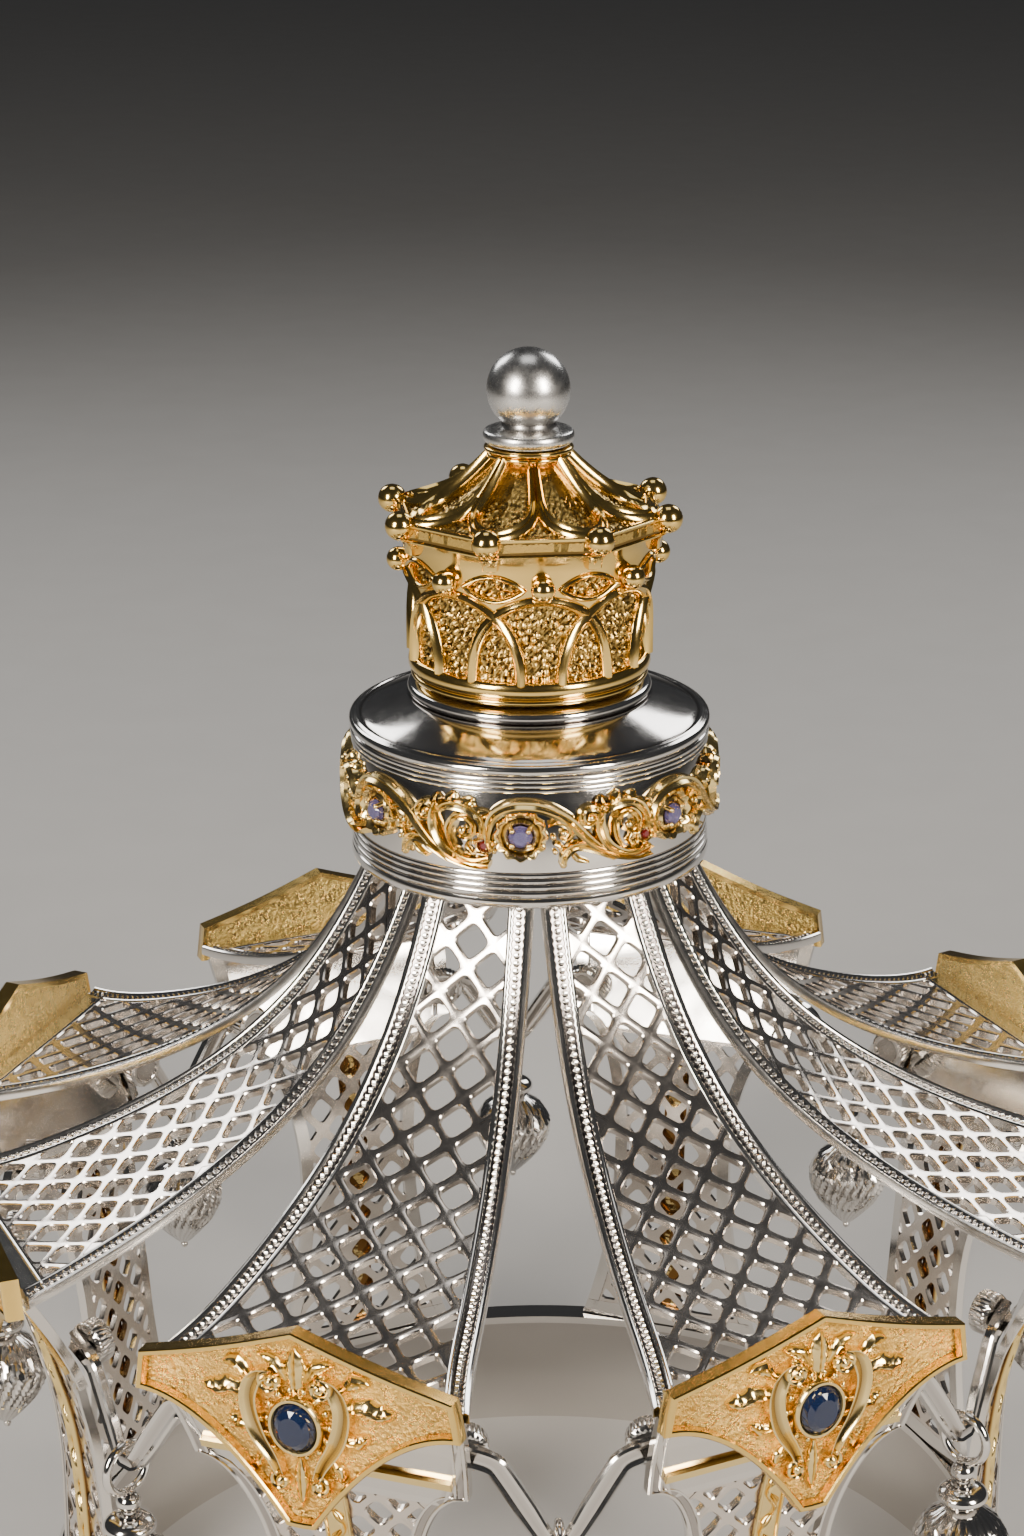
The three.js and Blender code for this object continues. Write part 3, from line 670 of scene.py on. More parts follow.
def hub_dish(lip_z):
    """The lip, the hollow dish up to the cupola and the ring that the cupola stands in."""
    lip = arc((HUB_RIM - 0.75, lip_z - 1.2), (0.75, 0.95), -1.45, 1.5, 9)
    edge = arc((29.6, lip_z - 0.22), (0.42, 0.34), 0.4, 2.7, 5)
    u = np.linspace(0, 1, 14)
    dish = zip(28.7 - 7.6 * u, lip_z + 3.3 * u ** 0.9)
    ring = arc((20.1, HUB_TOP - 1.25), (0.8, 0.98), -1.4, 1.5, 10)
    return [*lip, *edge, (28.9, lip_z - 0.15), *dish, (20.95, lip_z + 3.35), *ring]


def make_hub():
    lip_z = HUB_LOW + 25
    inside = [(AXIS, HUB_TOP - HUB_WALL), (19, HUB_TOP - HUB_WALL), (19, lip_z + 2.1), (24, lip_z),
              (BAND - HUB_WALL, lip_z - 2.1), (BAND - HUB_WALL, HUB_LOW)]
    body = Body()
    body.turned([*inside, *hub_foot(), (BAND, BAND_LOW), (BAND, BAND_TOP - 0.05), *hub_rim(),
                 (BAND + 0.1, BAND_TOP + 2.75), *hub_dish(lip_z), (19.6, HUB_TOP), (AXIS, HUB_TOP)], 144)
    show("hub_drum", body, polished_silver, "silver", ["hub"], sharp=32)


# ---- Cupola ----

def drum_radius(z):
    up = (z - ARCH_FOOT) / (EAVE_Z - ARCH_FOOT)
    return DRUM_WAIST + 1.5 * np.maximum(0, up) ** 2.2


def drum_map(angle, z, h):
    return polar(angle, drum_radius(z) + h, z)


def on_drum(x, z, h):
    """The drum laid flat: x is the arc at its waist."""
    return drum_map(x / DRUM_WAIST, z, h)


def off_hip(angle):
    """How far an angle lies from the nearest hip, as a share of the way to the face's middle."""
    inside = np.mod(angle, ARM_STEP)
    return np.minimum(inside, ARM_STEP - inside) / (ARM_STEP / 2)


def eight_sided(angle, apothem):
    """The radius of an eight-sided ring at an angle."""
    return apothem / np.cos(ARM_STEP / 2 * (1 - off_hip(angle)))


def roof_map(angle, u, h):
    """The hollow-sided roof: angle from a hip, u from the eave (0) to the neck (1)."""
    u_in = np.clip(u, 0, 1)
    apothem = EAVE + (NECK - EAVE) * u_in
    corner = eight_sided(angle, apothem)
    radius = corner + (apothem * 1.03 - corner) * u_in ** 3
    z = ROOF_FOOT + ROOF_RISE * u_in ** 1.7
    slope = 1.7 * ROOF_RISE * np.maximum(u_in, 0.02) ** 0.7 / (EAVE - NECK)
    tilt = np.sqrt(1 + slope ** 2)
    return polar(angle, radius + h * slope / tilt, z + h / tilt)


def nuggets(points, size, depth):
    """How far each point of a beaten ground is pushed out: rounded lumps with sharp valleys."""
    out = []
    for p in points.reshape(-1, 3):
        spots = noise.voronoi(Vector(p) / size)[0]
        out.append(depth * (min(1.0, 2.2 * (spots[1] - spots[0])) ** 0.7 - 0.5)
                   + 0.35 * depth * noise.noise(Vector(p) / (0.45 * size)))
    return np.array(out).reshape(points.shape[:-1])


def inside_arches(angle, z):
    """Whether a point on the drum lies under one of the interlaced arches."""
    rise = np.clip((z - ARCH_FOOT) / ARCH_RISE, 0, 1)
    half = ARCH_HALF * np.sqrt(np.maximum(0, 1 - rise ** (2 / ARCH_POWER)))
    off = (1 - off_hip(angle)) * ARM_STEP / 2
    return (off < half) & (z < ARCH_FOOT + ARCH_RISE)


def in_lens(angle, z):
    """Whether a point lies in one of the lens-shaped fields that sit at the hips."""
    across = np.minimum(1, off_hip(angle) * ARM_STEP / 2 * DRUM_SHOULDER / LENS_HALF)
    return np.abs(z - LENS_Z) < LENS_RISE * (1 - across ** 2)


def loop_half(share):
    """A loop's half width at a height on the roof, as a share of half a face."""
    widths, heights = zip(*LOOP[::-1])
    return np.interp(share, heights, widths, left=0.0)


def make_drum_ground():
    """The lumpy ground between the arches."""
    angles, heights = np.meshgrid(circle(416), np.linspace(ARCH_FOOT - 0.2, CORNICE_Z + 3, 60))
    lumps = nuggets(drum_map(angles, heights, 0), 1.15, 0.75)
    outer = drum_map(angles, heights, lumps - 0.55)
    inner = drum_map(angles[(-1, 0), :], heights[(-1, 0), :], -2.4)
    body = Body()
    body.skin(np.concatenate([outer, inner]), endless=True)
    show("drum_ground", body, matted_gold, "gold", angle=CUPOLA_TURN, sharp=70)


def make_roof_ground():
    """The roof's ground: finer lumps, sunk inside the loops and dying out towards the neck."""
    angles, shares = np.meshgrid(circle(384), np.linspace(0, 1, 64))
    sunk = 0.75 * np.clip((loop_half(shares) - off_hip(angles)) * 6, 0, 1) * np.clip(shares * 8, 0, 1)
    lumps = nuggets(roof_map(angles, shares, 0), 0.95, 0.34) * np.clip((0.8 - shares) * 4, 0.15, 1)
    top = roof_map(angles, shares, lumps - 0.3 - sunk)
    back = (-1, 40, 20, 0)
    under = roof_map(angles[back, :], shares[back, :], -2.2)
    body = Body()
    body.skin(np.concatenate([top, under]), endless=True)
    show("roof_ground", body, matted_gold, "gold", angle=CUPOLA_TURN, sharp=70)


def base_rings(body):
    z = DRUM_FOOT
    thin = arc((19.7, z + 0.75), (0.55, 0.55), -1.5, 1.3, 8)
    broad = arc((19.75, z + 2.85), (0.95, 1.45), -1.4, 1.5, 14)
    body.turned([(17.4, z), *thin, (19.9, z + 1.38), *broad, (19.0, z + 4.4), (17.4, z + 4.4)],
                176, closed=True)


def shoulders(body):
    """The smooth skin over the arches, open at the lens-shaped fields, and its flare to the eave."""
    angles, heights = np.meshgrid(circle(320), np.linspace(ARCH_FOOT + 7, EAVE_Z - 0.3, 34))
    smooth = ~(inside_arches(angles, heights) | in_lens(angles, heights))
    flare = 0.5 + 0.7 * np.clip((heights - EAVE_Z + 3.2) / 3, 0, 1) ** 2
    outer = drum_map(angles, heights, np.where(smooth, flare, -1.5))
    inner = drum_map(angles[(-1, 0), :], heights[(-1, 0), :], -2.2)
    body.skin(np.concatenate([outer, inner]), endless=True)


def eave(body):
    """The roof's upright edge: a flat band on each side, a lip under it and a bead on top."""
    angle = circle(320)
    under = [(-3.4, -0.7), (-0.2, -0.7), (0.2, -0.55), (0.3, -0.3), (0.2, -0.08), (-0.1, 0)]
    over = [(-0.15, -0.1), (0.1, 0), (0.12, 0.25), (-0.15, 0.45), (-1.1, 0.4), (-3.4, -0.8)]
    rows = [polar(angle, eight_sided(angle, EAVE + out), base + up)
            for base, profile in ((EAVE_Z, under), (ROOF_FOOT, over)) for out, up in profile]
    body.skin(rows, endless=True)


def neck_rings(body):
    lower = arc((NECK + 0.35, NECK_Z - 1.5), (0.55, 0.5), -1.5, 1.4, 7)
    upper = arc((NECK + 0.7, NECK_Z - 0.48), (0.55, 0.46), -1.4, 1.5, 7)
    body.turned([(AXIS, NECK_Z - 2.6), (NECK - 0.2, NECK_Z - 2.6), (NECK, NECK_Z - 2.0), *lower, *upper,
                 (AXIS, NECK_Z)], 96)


def arch(body, middle, rise):
    """One of the interlaced arches; every second one stands a little further out."""
    swing = np.linspace(math.pi, 0, 56)
    line = np.stack([(middle + ARCH_HALF * np.cos(swing)) * DRUM_WAIST,
                     ARCH_FOOT - 0.3 + ARCH_RISE * np.sin(swing) ** ARCH_POWER], -1)
    body.ribbon(on_drum, line, 1.08, rise, sink=1.2, section="crest")


def lens_rib(body, hip):
    """The rib round the lens-shaped field at a hip."""
    x = np.linspace(-1, 1, 22)
    across = hip * DRUM_WAIST + x * LENS_HALF * 0.98
    bow = LENS_RISE * (1 - x ** 2)
    top = np.stack([across, LENS_Z + bow], -1)
    under = np.stack([across, LENS_Z - bow], -1)[-2:0:-1]
    body.ribbon(on_drum, np.concatenate([top, under]), 0.55, 1.15, sink=1.2, sides=6, closed=True)


def roof_rib(body, line, half, rise):
    """A ridged rib on the roof; its line is (angle, share up), its width is true millimetres."""
    places = roof_map(line[:, 0], line[:, 1], 0)
    run = directions_along(places)
    out = roof_map(line[:, 0], line[:, 1], 1.0) - places
    out /= np.linalg.norm(out, axis=1)[:, None]
    across = np.cross(run, out)
    half = half[:, None]
    v = np.cos(np.linspace(0, math.pi, 9))
    lift = SECTIONS["crest"](v) * rise - 0.1
    rows = (places[:, None, :] + across[:, None, :] * (half * v[None, :])[:, :, None]
            + out[:, None, :] * lift[None, :, None])
    feet = np.stack([places - across * half - out * 1.4, places + across * half - out * 1.4], 1)
    body.skin(np.concatenate([rows, feet], 1))


def roof_loops(body, hip):
    """Two ribs a side: the teardrop round the hip, and the sweep from the stem to the ball."""
    for side in (-1, 1):
        for points, half, rise in ((LOOP, 0.85, 1.35), (SWEEP, 0.8, 1.15)):
            line = smooth_line(points, 6)
            line = np.stack([hip + side * line[:, 0] * ARM_STEP / 2, line[:, 1]], -1)
            width = half * np.interp(line[:, 1], [0.1, 0.35, 0.75, 1.0], [0.95, 1.0, 0.85, 0.7])
            roof_rib(body, line, width, rise)


def bracket(body, hip):
    """A small block under each ball."""
    back = drum_radius(EAVE_Z) - 0.4
    rows = []
    for drop, half, out in ((3.1, 0.8, 1.2), (2.8, 1.1, 1.9), (1.2, 1.2, 2.1), (0.4, 1.5, 2.8)):
        section = [(-1, 0), (-1, out), (-0.75, out + 0.25), (0.75, out + 0.25), (1, out), (1, 0)]
        rows.append([polar(hip + across * half / back, back + up, EAVE_Z - drop) for across, up in section])
    body.skin(rows)


def make_cupola_frame():
    """The polished parts: base rings, cornice, eave, neck rings, arches, loops and balls."""
    body = Body()
    for part in (base_rings, shoulders, eave, neck_rings):
        part(body)
    for k in range(ARMS):
        hip = k * ARM_STEP
        middle = hip + ARM_STEP / 2
        arch(body, middle, 1.25 if k % 2 else 1.45)
        roof_loops(body, hip)
        lens_rib(body, hip)
        bracket(body, hip)
        body.ball(polar(middle, drum_radius(CORNICE_Z) + 1.7, CORNICE_Z + 0.2), 2.05, 20, 14)
        body.ball(polar(hip, 24.2, ROOF_FOOT + 0.1), 2.45, 20, 14)
    show("cupola_frame", body, polished_gold, "gold", ["cupola"], angle=CUPOLA_TURN, sharp=40)


# ---- Scroll frieze ----

def frieze_map(x, y, h):
    return polar(x / FRIEZE_WALL, FRIEZE_WALL - 0.25 + h, FRIEZE_MIDDLE + y)


def taper(count, start, middle, end):
    """A width that changes smoothly from start over middle to end."""
    return np.interp(np.linspace(0, 1, count), [0, 0.25, 0.6, 1], [start, middle, middle, end])


def scroll(body, x, points, widths, height, section="round"):
    """A tapering scroll in the repeat that starts at x."""
    line = smooth_line(points, 7) + np.array([x, 0])
    body.ribbon(frieze_map, line, taper(len(line), *widths), height, section=section)


def bead(body, x, y, radius, out):
    body.ball(frieze_map(x, y, out), radius, 12, 8)


def running_wave(body, x):
    """The wave that wraps the stone and runs down under the acanthus."""
    scroll(body, x, [(-4.7, -2.6), (-5.3, -0.6), (-5.2, 1.2), (-4.3, 3.3), (-2.5, 4.7), (0, 5.25),
                     (3.1, 4.95), (6.0, 3.7), (8.4, 1.8), (10.6, -0.6), (13.0, -2.8), (16.0, -4.5),
                     (19.4, -5.4), (22.4, -5.4)], (0.45, 1.25, 0.5), 2.3, "grooved")


def curls(body, x):
    """Curls and beads between the stone and the acanthus."""
    scroll(body, x, [(4.4, 1.9), (6.0, 2.3), (7.7, 1.6), (8.3, 0.2), (7.4, -0.8), (6.4, -0.3)],
           (0.5, 0.75, 0.35), 1.8, "grooved")
    scroll(body, x, [(6.9, -5.2), (7.2, -3.6), (8.6, -2.3), (10.8, -2.4), (13.2, -3.6), (15.6, -5.0)],
           (0.55, 1.0, 0.5), 1.9, "grooved")
    scroll(body, x, [(5.4, -1.4), (6.4, -2.0), (6.6, -3.0)], (0.4, 0.55, 0.3), 1.3)
    scroll(body, x, [(8.6, -3.4), (9.4, -4.6), (11.2, -5.2)], (0.35, 0.6, 0.3), 1.0)
    for across, up, radius, out in ((7.0, 0.35, 0.6, 1.1), (5.3, -0.4, 0.5, 0.6), (6.9, -5.2, 0.65, 0.8),
                                    (5.6, -3.0, 0.45, 0.6)):
        bead(body, x + across, up, radius, out)


def acanthus(body, x):
    """The acanthus: a volute on its left, a bold stem, a lobed crest and a curl inside."""
    curl = volute((x + 11.3, 2.7), 2.1, math.radians(-30), 1.45, 0.2, 28)
    body.ribbon(frieze_map, curl, taper(len(curl), 0.5, 0.75, 0.35), 2.0, section="grooved")
    bead(body, x + 11.3, 2.7, 0.65, 1.3)
    scroll(body, x, [(13.6, 4.6), (12.9, 2.4), (13.2, -0.2), (14.6, -2.6), (17.0, -4.2), (19.8, -4.7),
                     (22.4, -4.0)], (0.6, 1.15, 0.5), 2.4, "grooved")
    for root, tip, wide in (((13.8, 3.4), (13.4, 6.3), 1.35), ((16.0, 3.8), (16.5, 6.8), 1.4),
                            ((18.4, 3.6), (19.7, 6.1), 1.4), ((20.4, 2.4), (22.6, 3.9), 1.25)):
        root, tip = np.array(root) + (x, 0), np.array(tip) + (x, 0)
        middle = 0.5 * (root + tip) + (-0.25, 0.15)
        body.leaf(frieze_map, [root, middle, tip], wide, 1.9, lobes=2)
    scroll(body, x, [(13.6, 3.4), (15.2, 4.4), (17.2, 4.7), (19.3, 4.1), (20.9, 2.7), (21.5, 0.9),
                     (21.1, -0.4)], (0.5, 1.0, 0.5), 2.4, "grooved")
    scroll(body, x, [(16.9, -3.0), (15.9, -1.2), (15.7, 0.9), (16.7, 2.6), (18.5, 2.9), (19.8, 1.7),
                     (19.8, 0.2), (18.7, -0.7), (17.6, -0.2)], (0.5, 0.8, 0.35), 2.2, "grooved")
    bead(body, x + 18.0, 0.6, 0.7, 1.4)


def red_cup(body, x):
    """The beaded cup of the small red stone, and the sprig beside it."""
    across, up = x + RED_STONE[0], RED_STONE[1]
    angle = circle(32)
    rim = np.stack([across + 1.3 * np.cos(angle), up + 1.3 * np.sin(angle)], -1)
    body.ribbon(frieze_map, rim, 0.45, 1.4, closed=True, sides=6)
    for a in circle(7) + 0.3:
        bead(body, across + 1.95 * math.cos(a), up + 1.95 * math.sin(a), 0.42, 0.5)
    scroll(body, x, [(19.6, -3.6), (18.6, -2.6), (18.9, -1.4)], (0.3, 0.5, 0.3), 1.2)


def ruffled_cup(body, x):
    """The bowl that holds a violet stone: a fluted rim, a plain seat and four prongs."""
    angle = circle(96)
    ruffle = np.cos(12 * angle)
    rows = []
    for radius, height, flute, lift in ((0.1, 0.5, 0, 0), (1.9, 0.5, 0, 0), (2.1, 1.1, 0, 0),
                                        (2.5, 1.35, 0, 0), (2.8, 1.0, 0, 0), (3.1, 0.75, 0.008, 0),
                                        (3.6, 1.5, 0.016, 0), (4.0, 1.75, 0.028, 0.2),
                                        (4.3, 1.3, 0.036, 0.2), (4.35, -0.3, 0.036, 0)):
        r = radius * (1 + flute * ruffle)
        rows.append(frieze_map(x + r * np.cos(angle), r * np.sin(angle), height + lift * ruffle))
    body.skin(rows)
    reach = np.array([2.45, 1.8])
    for a in circle(4) + TURN / 8:
        prong = frieze_map(x + reach * math.cos(a), reach * math.sin(a), np.array([1.0, 2.2]))
        body.tube(prong, [0.42, 0.36], 8)
        body.ball(prong[1], 0.45, 10, 8)


def cut_stone(body, lay, place_on, radii, rise, height, sides):
    """A stone on a surface, table up: its back, girdle, crown facets and table."""
    girdle = circle(sides)
    half = girdle + TURN / sides / 2
    rows = []
    for angle, scale, up in ((girdle, 0.3, -rise * 0.6), (girdle, 1.0, -0.05), (girdle, 1.0, rise * 0.12),
                             (half, 0.84, rise * 0.66), (girdle, 0.6, rise)):
        rows.append(lay(place_on[0] + scale * radii[0] * np.cos(angle),
                        place_on[1] + scale * radii[1] * np.sin(angle), np.full(sides, height + up)))
    body.skin(rows)


def frieze_turn():
    """The angle of the first violet stone, read from its CAD node."""
    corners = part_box("hub_stone_1")
    centre = (corners[0] + corners[1]) / 2
    return math.atan2(centre.x, -centre.y)


def make_frieze():
    turn = frieze_turn()
    gilt = Body()
    garnets = Body()
    for k in range(STONES):
        x = k * FRIEZE_SPAN
        for part in (running_wave, ruffled_cup, curls, acanthus, red_cup):
            part(gilt, x)
        cut_stone(garnets, frieze_map, (x + RED_STONE[0], RED_STONE[1]), (0.85, 0.85), 0.5, 0.8, 8)
        stone = Body()
        cut_stone(stone, frieze_map, (0, 0), (1.95, 1.95), 1.0, 1.15, 12)
        show(f"violet_stone_{k + 1}", stone, violet_crystal, "violet_stone", [f"hub_stone_{k + 1}"],
             turn + k * TURN / STONES, flat=True)
    show("scroll_frieze_gilt", gilt, chased_gold, "gold", ["scroll_frieze"], turn, sharp=45)
    show("red_stones", garnets, garnet_red, "violet_stone", (), turn, flat=True)


# ---- Pierced arms ----

def clip(polygon, tags, point, normal, tag):
    """Keeps the part of a polygon behind a line; new edges carry the given tag."""
    out, out_tags = [], []
    side = [(p - point) @ normal for p in polygon]
    for i, p in enumerate(polygon):
        j = (i + 1) % len(polygon)
        if side[i] <= 0:
            out.append(p)
            out_tags.append(tags[i])
        if (side[i] <= 0) != (side[j] <= 0):
            share = side[i] / (side[i] - side[j])
            out.append(p + (polygon[j] - p) * share)
            out_tags.append(tag if side[i] <= 0 else tags[i])
    return out, out_tags


def area_of(polygon):
    p = np.asarray(polygon)
    q = np.roll(p, -1, 0)
    return 0.5 * np.sum(p[:, 0] * q[:, 1] - p[:, 1] * q[:, 0])


def pulled_in(polygon, insets):
    """The polygon pulled in by each edge's inset, without its shortest edges."""
    hole = [p.copy() for p in polygon]
    for i, p in enumerate(polygon):
        q = polygon[(i + 1) % len(polygon)]
        run = (q - p) / max(np.linalg.norm(q - p), 1e-9)
        normal = np.array([run[1], -run[0]])
        hole, _ = clip(hole, [0] * len(hole), p - normal * insets[i], normal, 0)
        if len(hole) < 3:
            return []
    return [p for i, p in enumerate(hole) if np.linalg.norm(p - hole[i - 1]) > 0.05]


def rounded(polygon, radius):
    """The polygon with round corners, as a dense outline."""
    out = []
    for i, p in enumerate(polygon):
        a, b = polygon[i - 1] - p, polygon[(i + 1) % len(polygon)] - p
        length_a, length_b = np.linalg.norm(a), np.linalg.norm(b)
        a, b = a / length_a, b / length_b
        half = 0.5 * math.acos(np.clip(a @ b, -1, 1))
        reach = min(radius / math.tan(half), 0.45 * length_a, 0.45 * length_b)
        start, end = p + a * reach, p + b * reach
        for u in np.linspace(0, 1, 6):
            out.append((1 - u) ** 2 * start + 2 * u * (1 - u) * p + u ** 2 * end)
    return np.array(out)


def ray_to(outline, centre, directions):
    """Where rays from a centre meet a closed outline that is seen whole from it."""
    p = outline - centre
    q = np.roll(p, -1, 0)
    out = []
    for d in directions:
        cross_p = d[0] * p[:, 1] - d[1] * p[:, 0]
        cross_q = d[0] * q[:, 1] - d[1] * q[:, 0]
        hit = (cross_p <= 0) & (cross_q > 0)
        share = cross_p / np.where(cross_p - cross_q == 0, 1, cross_p - cross_q)
        at = p + (q - p) * share[:, None]
        reach = np.where(hit & (at @ d > 0), at @ d, -1).max()
        out.append(centre + d * reach)
    return np.array(out)


def level(lay, line, h):
    """A flat line laid on a surface at one height."""
    return lay(line[:, 0], line[:, 1], np.full(len(line), float(h)))


def pierced_cell(body, lay, polygon, tags, marks):
    """One cell of the lattice: a chamfered, round-cornered hole in its share of the sheet."""
    outer = np.array([p + (polygon[(i + 1) % len(polygon)] - p) * u
                      for i, p in enumerate(polygon) for u in marks])
    hole = pulled_in(polygon, [CELL_INSET[tag] for tag in tags])
    if len(hole) < 3 or area_of(hole) < SMALLEST_HOLE:
        body.skin([level(lay, outer, -SHEET), level(lay, outer, 0)])
        return
    hole = rounded(hole, HOLE_CORNER)
    centre = hole.mean(0)
    directions = outer - centre
    directions = directions / np.linalg.norm(directions, axis=1)[:, None]
    inner = ray_to(hole, centre, directions)
    wider = inner + directions * HOLE_BEVEL
    body.skin([level(lay, outer, BAR_CROWN), level(lay, wider, 0), level(lay, inner, -HOLE_BEVEL),
               level(lay, inner, -SHEET), level(lay, outer, -SHEET)], caps=False)


def trimmed(polygon, tags, cuts):
    """The polygon and its tags cut by each line in turn, or None where too little is left."""
    for point, normal, tag in cuts:
        polygon, tags = clip(polygon, tags, point, normal, tag)
        if len(polygon) < 3:
            return None
    if area_of(polygon) < 0.4:
        return None
    keep = [k for k, p in enumerate(polygon)
            if np.linalg.norm(p - polygon[(k + 1) % len(polygon)]) > 0.02]
    if len(keep) < 3:
        return None
    return [polygon[k] for k in keep], [tags[k] for k in keep]


def edge_cuts(inner_edge, s_near, s_far):
    """The lines of the two curved edges beside one row of cells."""
    cuts = []
    for side in (-1, 1):
        near, far = (np.array([side * inner_edge(s), s]) for s in (s_near, s_far))
        run = (far - near) / np.linalg.norm(far - near)
        cuts.append((near, side * np.array([run[1], -run[0]]), "rail"))
    return cuts


def lattice(body, lay, inner_edge, span, phase, cell):
    """Fills the opening between two curved edges with diamond cells, cut where they meet them."""
    width, length, marks = cell
    ends = [(np.array([0, span[0]]), np.array([0.0, -1.0]), "end"),
            (np.array([0, span[1]]), np.array([0.0, 1.0]), "end")]
    columns = int(2 * max(inner_edge(s) for s in span) / width) + 3
    rows = int((span[1] - span[0]) / length * 2) + 4
    for j in range(-2, rows):
        s = phase + j * length / 2
        cuts = edge_cuts(inner_edge, s - length / 2, s + length / 2) + ends
        for i in range(-columns, columns + 1):
            t = i * width / 2
            diamond = [np.array(p, float) for p in ((t + width / 2, s), (t, s + length / 2),
                                                    (t - width / 2, s), (t, s - length / 2))]
            kept = trimmed(diamond, ["bar"] * 4, cuts) if (i + j) % 2 == 0 else None
            if kept:
                pierced_cell(body, lay, *kept, marks)


def rows_along(lay, width_at, s, side, profile):
    """A strip that follows one edge of an arm; the profile is (inset from the edge, height)."""
    return np.stack([lay(side * (width_at(s) - inset_by), s, np.full(len(s), float(h)))
                     for inset_by, h in profile], 1)


def rows_across(lay, width_at, count, slack, profile):
    """A strip from edge to edge of an arm; the profile is (place along the arm, height)."""
    t = np.linspace(-1, 1, count)
    rows = []
    for place_along, h in profile:
        s = np.full(count, float(place_along))
        rows.append(lay(t * (width_at(s) - slack), s, np.full(count, float(h))))
    return np.stack(rows, 1)


def upper_path():
    """An upper panel's hollow sweep, from the hub out to its plaque."""
    top_n, top_z = 26, HUB_LOW - 1
    end_n, end_z = 100.5, low("upper_panel_1") + 1.27
    n = np.linspace(UPPER_START, end_n, 300)
    x = (end_n - n) / (end_n - top_n)
    return Path(np.stack([n, end_z + (top_z - end_z) * (0.6 * x ** 1.5 + 0.4 * x ** 6)], -1))


def beaded_border(body, lay, width_at, length, side):
    """A rolled rail, a row of beads in a notched channel and an inner rail."""
    pitches = int(length / BEAD_PITCH)
    s = np.linspace(0, length, 2 * pitches + 1)
    nick = 0.16 * np.cos(TURN * s / BEAD_PITCH)
    body.skin(rows_along(lay, width_at, s, side, [
        (0.0, -SHEET), (0.0, -0.1), (0.12, 0.32), (0.5, 0.5), (0.95, 0.36), (1.15 - nick, 0.1),
        (1.3 - nick, -0.12), (2.2, -0.12), (3.05 + nick, -0.12), (3.2 + nick, 0.1), (3.5, 0.34),
        (3.85, 0.34), (4.15, 0.1), (UPPER_BORDER, -SHEET)]))
    for k in range(2, pitches):
        at = (k + 0.5) * BEAD_PITCH
        body.ball(lay(side * (width_at(at) - 2.18), at, 0.0), 0.64, 6, 5)


def make_upper_panels():
    path = upper_path()
    lay, length = path.map(), path.length

    def width_at(s):
        n = path.at(s)[0]
        return 9.5 + 0.2125 * (n - UPPER_START) + 1.2 * np.maximum(0, (n - 85) / 15.5) ** 2

    def inner_edge(s):
        return width_at(s) - UPPER_BORDER + 0.2

    plate = Body()
    lattice(plate, lay, inner_edge, (2.0, length - 3.6), 9.6, UPPER_CELL)
    border = Body()
    for side in (-1, 1):
        beaded_border(border, lay, width_at, length, side)
    end = ((4.0, -SHEET), (4.0, 0.05), (3.7, 0.28), (3.3, 0.28), (3.0, 0.05), (0.0, 0.05), (0.0, -SHEET))
    border.skin(rows_across(lay, width_at, 33, 0.6, [(length - back, h) for back, h in end]))
    show_round("upper_lattice", plate, arm_silver, "silver", "upper_panel", ARM_START, sharp=25)
    show_round("upper_border", border, bead_silver, "silver", None, ARM_START, sharp=40)


def lower_path():
    """A lower arm's line, from the plaque down to the circlet."""
    points = [(100.5, 110.5), (95.8, 102), (92.3, 94), (89.6, 85), (87.3, 75), (86, 63), (85.5, 48),
              (84.9, BASE_TOP + 0.3)]
    return Path(smooth_line(points, 20))


def lower_width(s, length):
    """Half a lower arm's width: a broad tab at its head, a waist and a spreading foot."""
    s = np.asarray(s, float)
    x = np.clip((s - TAB) / (WAIST - TAB), 0, 1)
    y = np.clip((s - WAIST) / (length - WAIST), 0, 1)
    head = 25.6 - 2.4 * np.clip(s / TAB, 0, 1)
    middle = 23.2 - 10.8 * np.sqrt(np.maximum(0, 1 - (1 - x) ** 2))
    return np.where(s <= TAB, head, np.where(s <= WAIST, middle, 12.4 + 6.6 * y ** 2))


def lower_edge(lay, width_at, length):
    """The smooth borders, the plain head behind the plaque and the foot rail."""
    body = Body()
    s = np.concatenate([np.linspace(0, TAB, 12)[:-1], TAB + (WAIST - TAB) * np.linspace(0, 1, 36) ** 2,
                        np.linspace(WAIST, length, 30)[1:]])
    inner = LOWER_BORDER
    for side in (-1, 1):
        body.skin(rows_along(lay, width_at, s, side, [
            (0.0, -SHEET), (0.0, 0.15), (0.2, 0.35), (0.7, 0.35), (0.95, 0.08), (inner - 0.5, 0.05),
            (inner - 0.3, 0.25), (inner + 0.1, 0.2), (inner + 0.15, -SHEET)]))
    head = [(0, -SHEET), (0, 0), (TAB / 2, 0), (TAB + 1.2, 0), (TAB + 2.6, 0.1), (TAB + 2.6, -SHEET)]
    foot = [(length - back, h) for back, h in ((3.1, -SHEET), (3.1, 0.2), (2.4, 0.3), (0, 0.3), (0, -SHEET))]
    for profile in (head, foot):
        body.skin(rows_across(lay, width_at, 41, 0.3, profile))
    return body


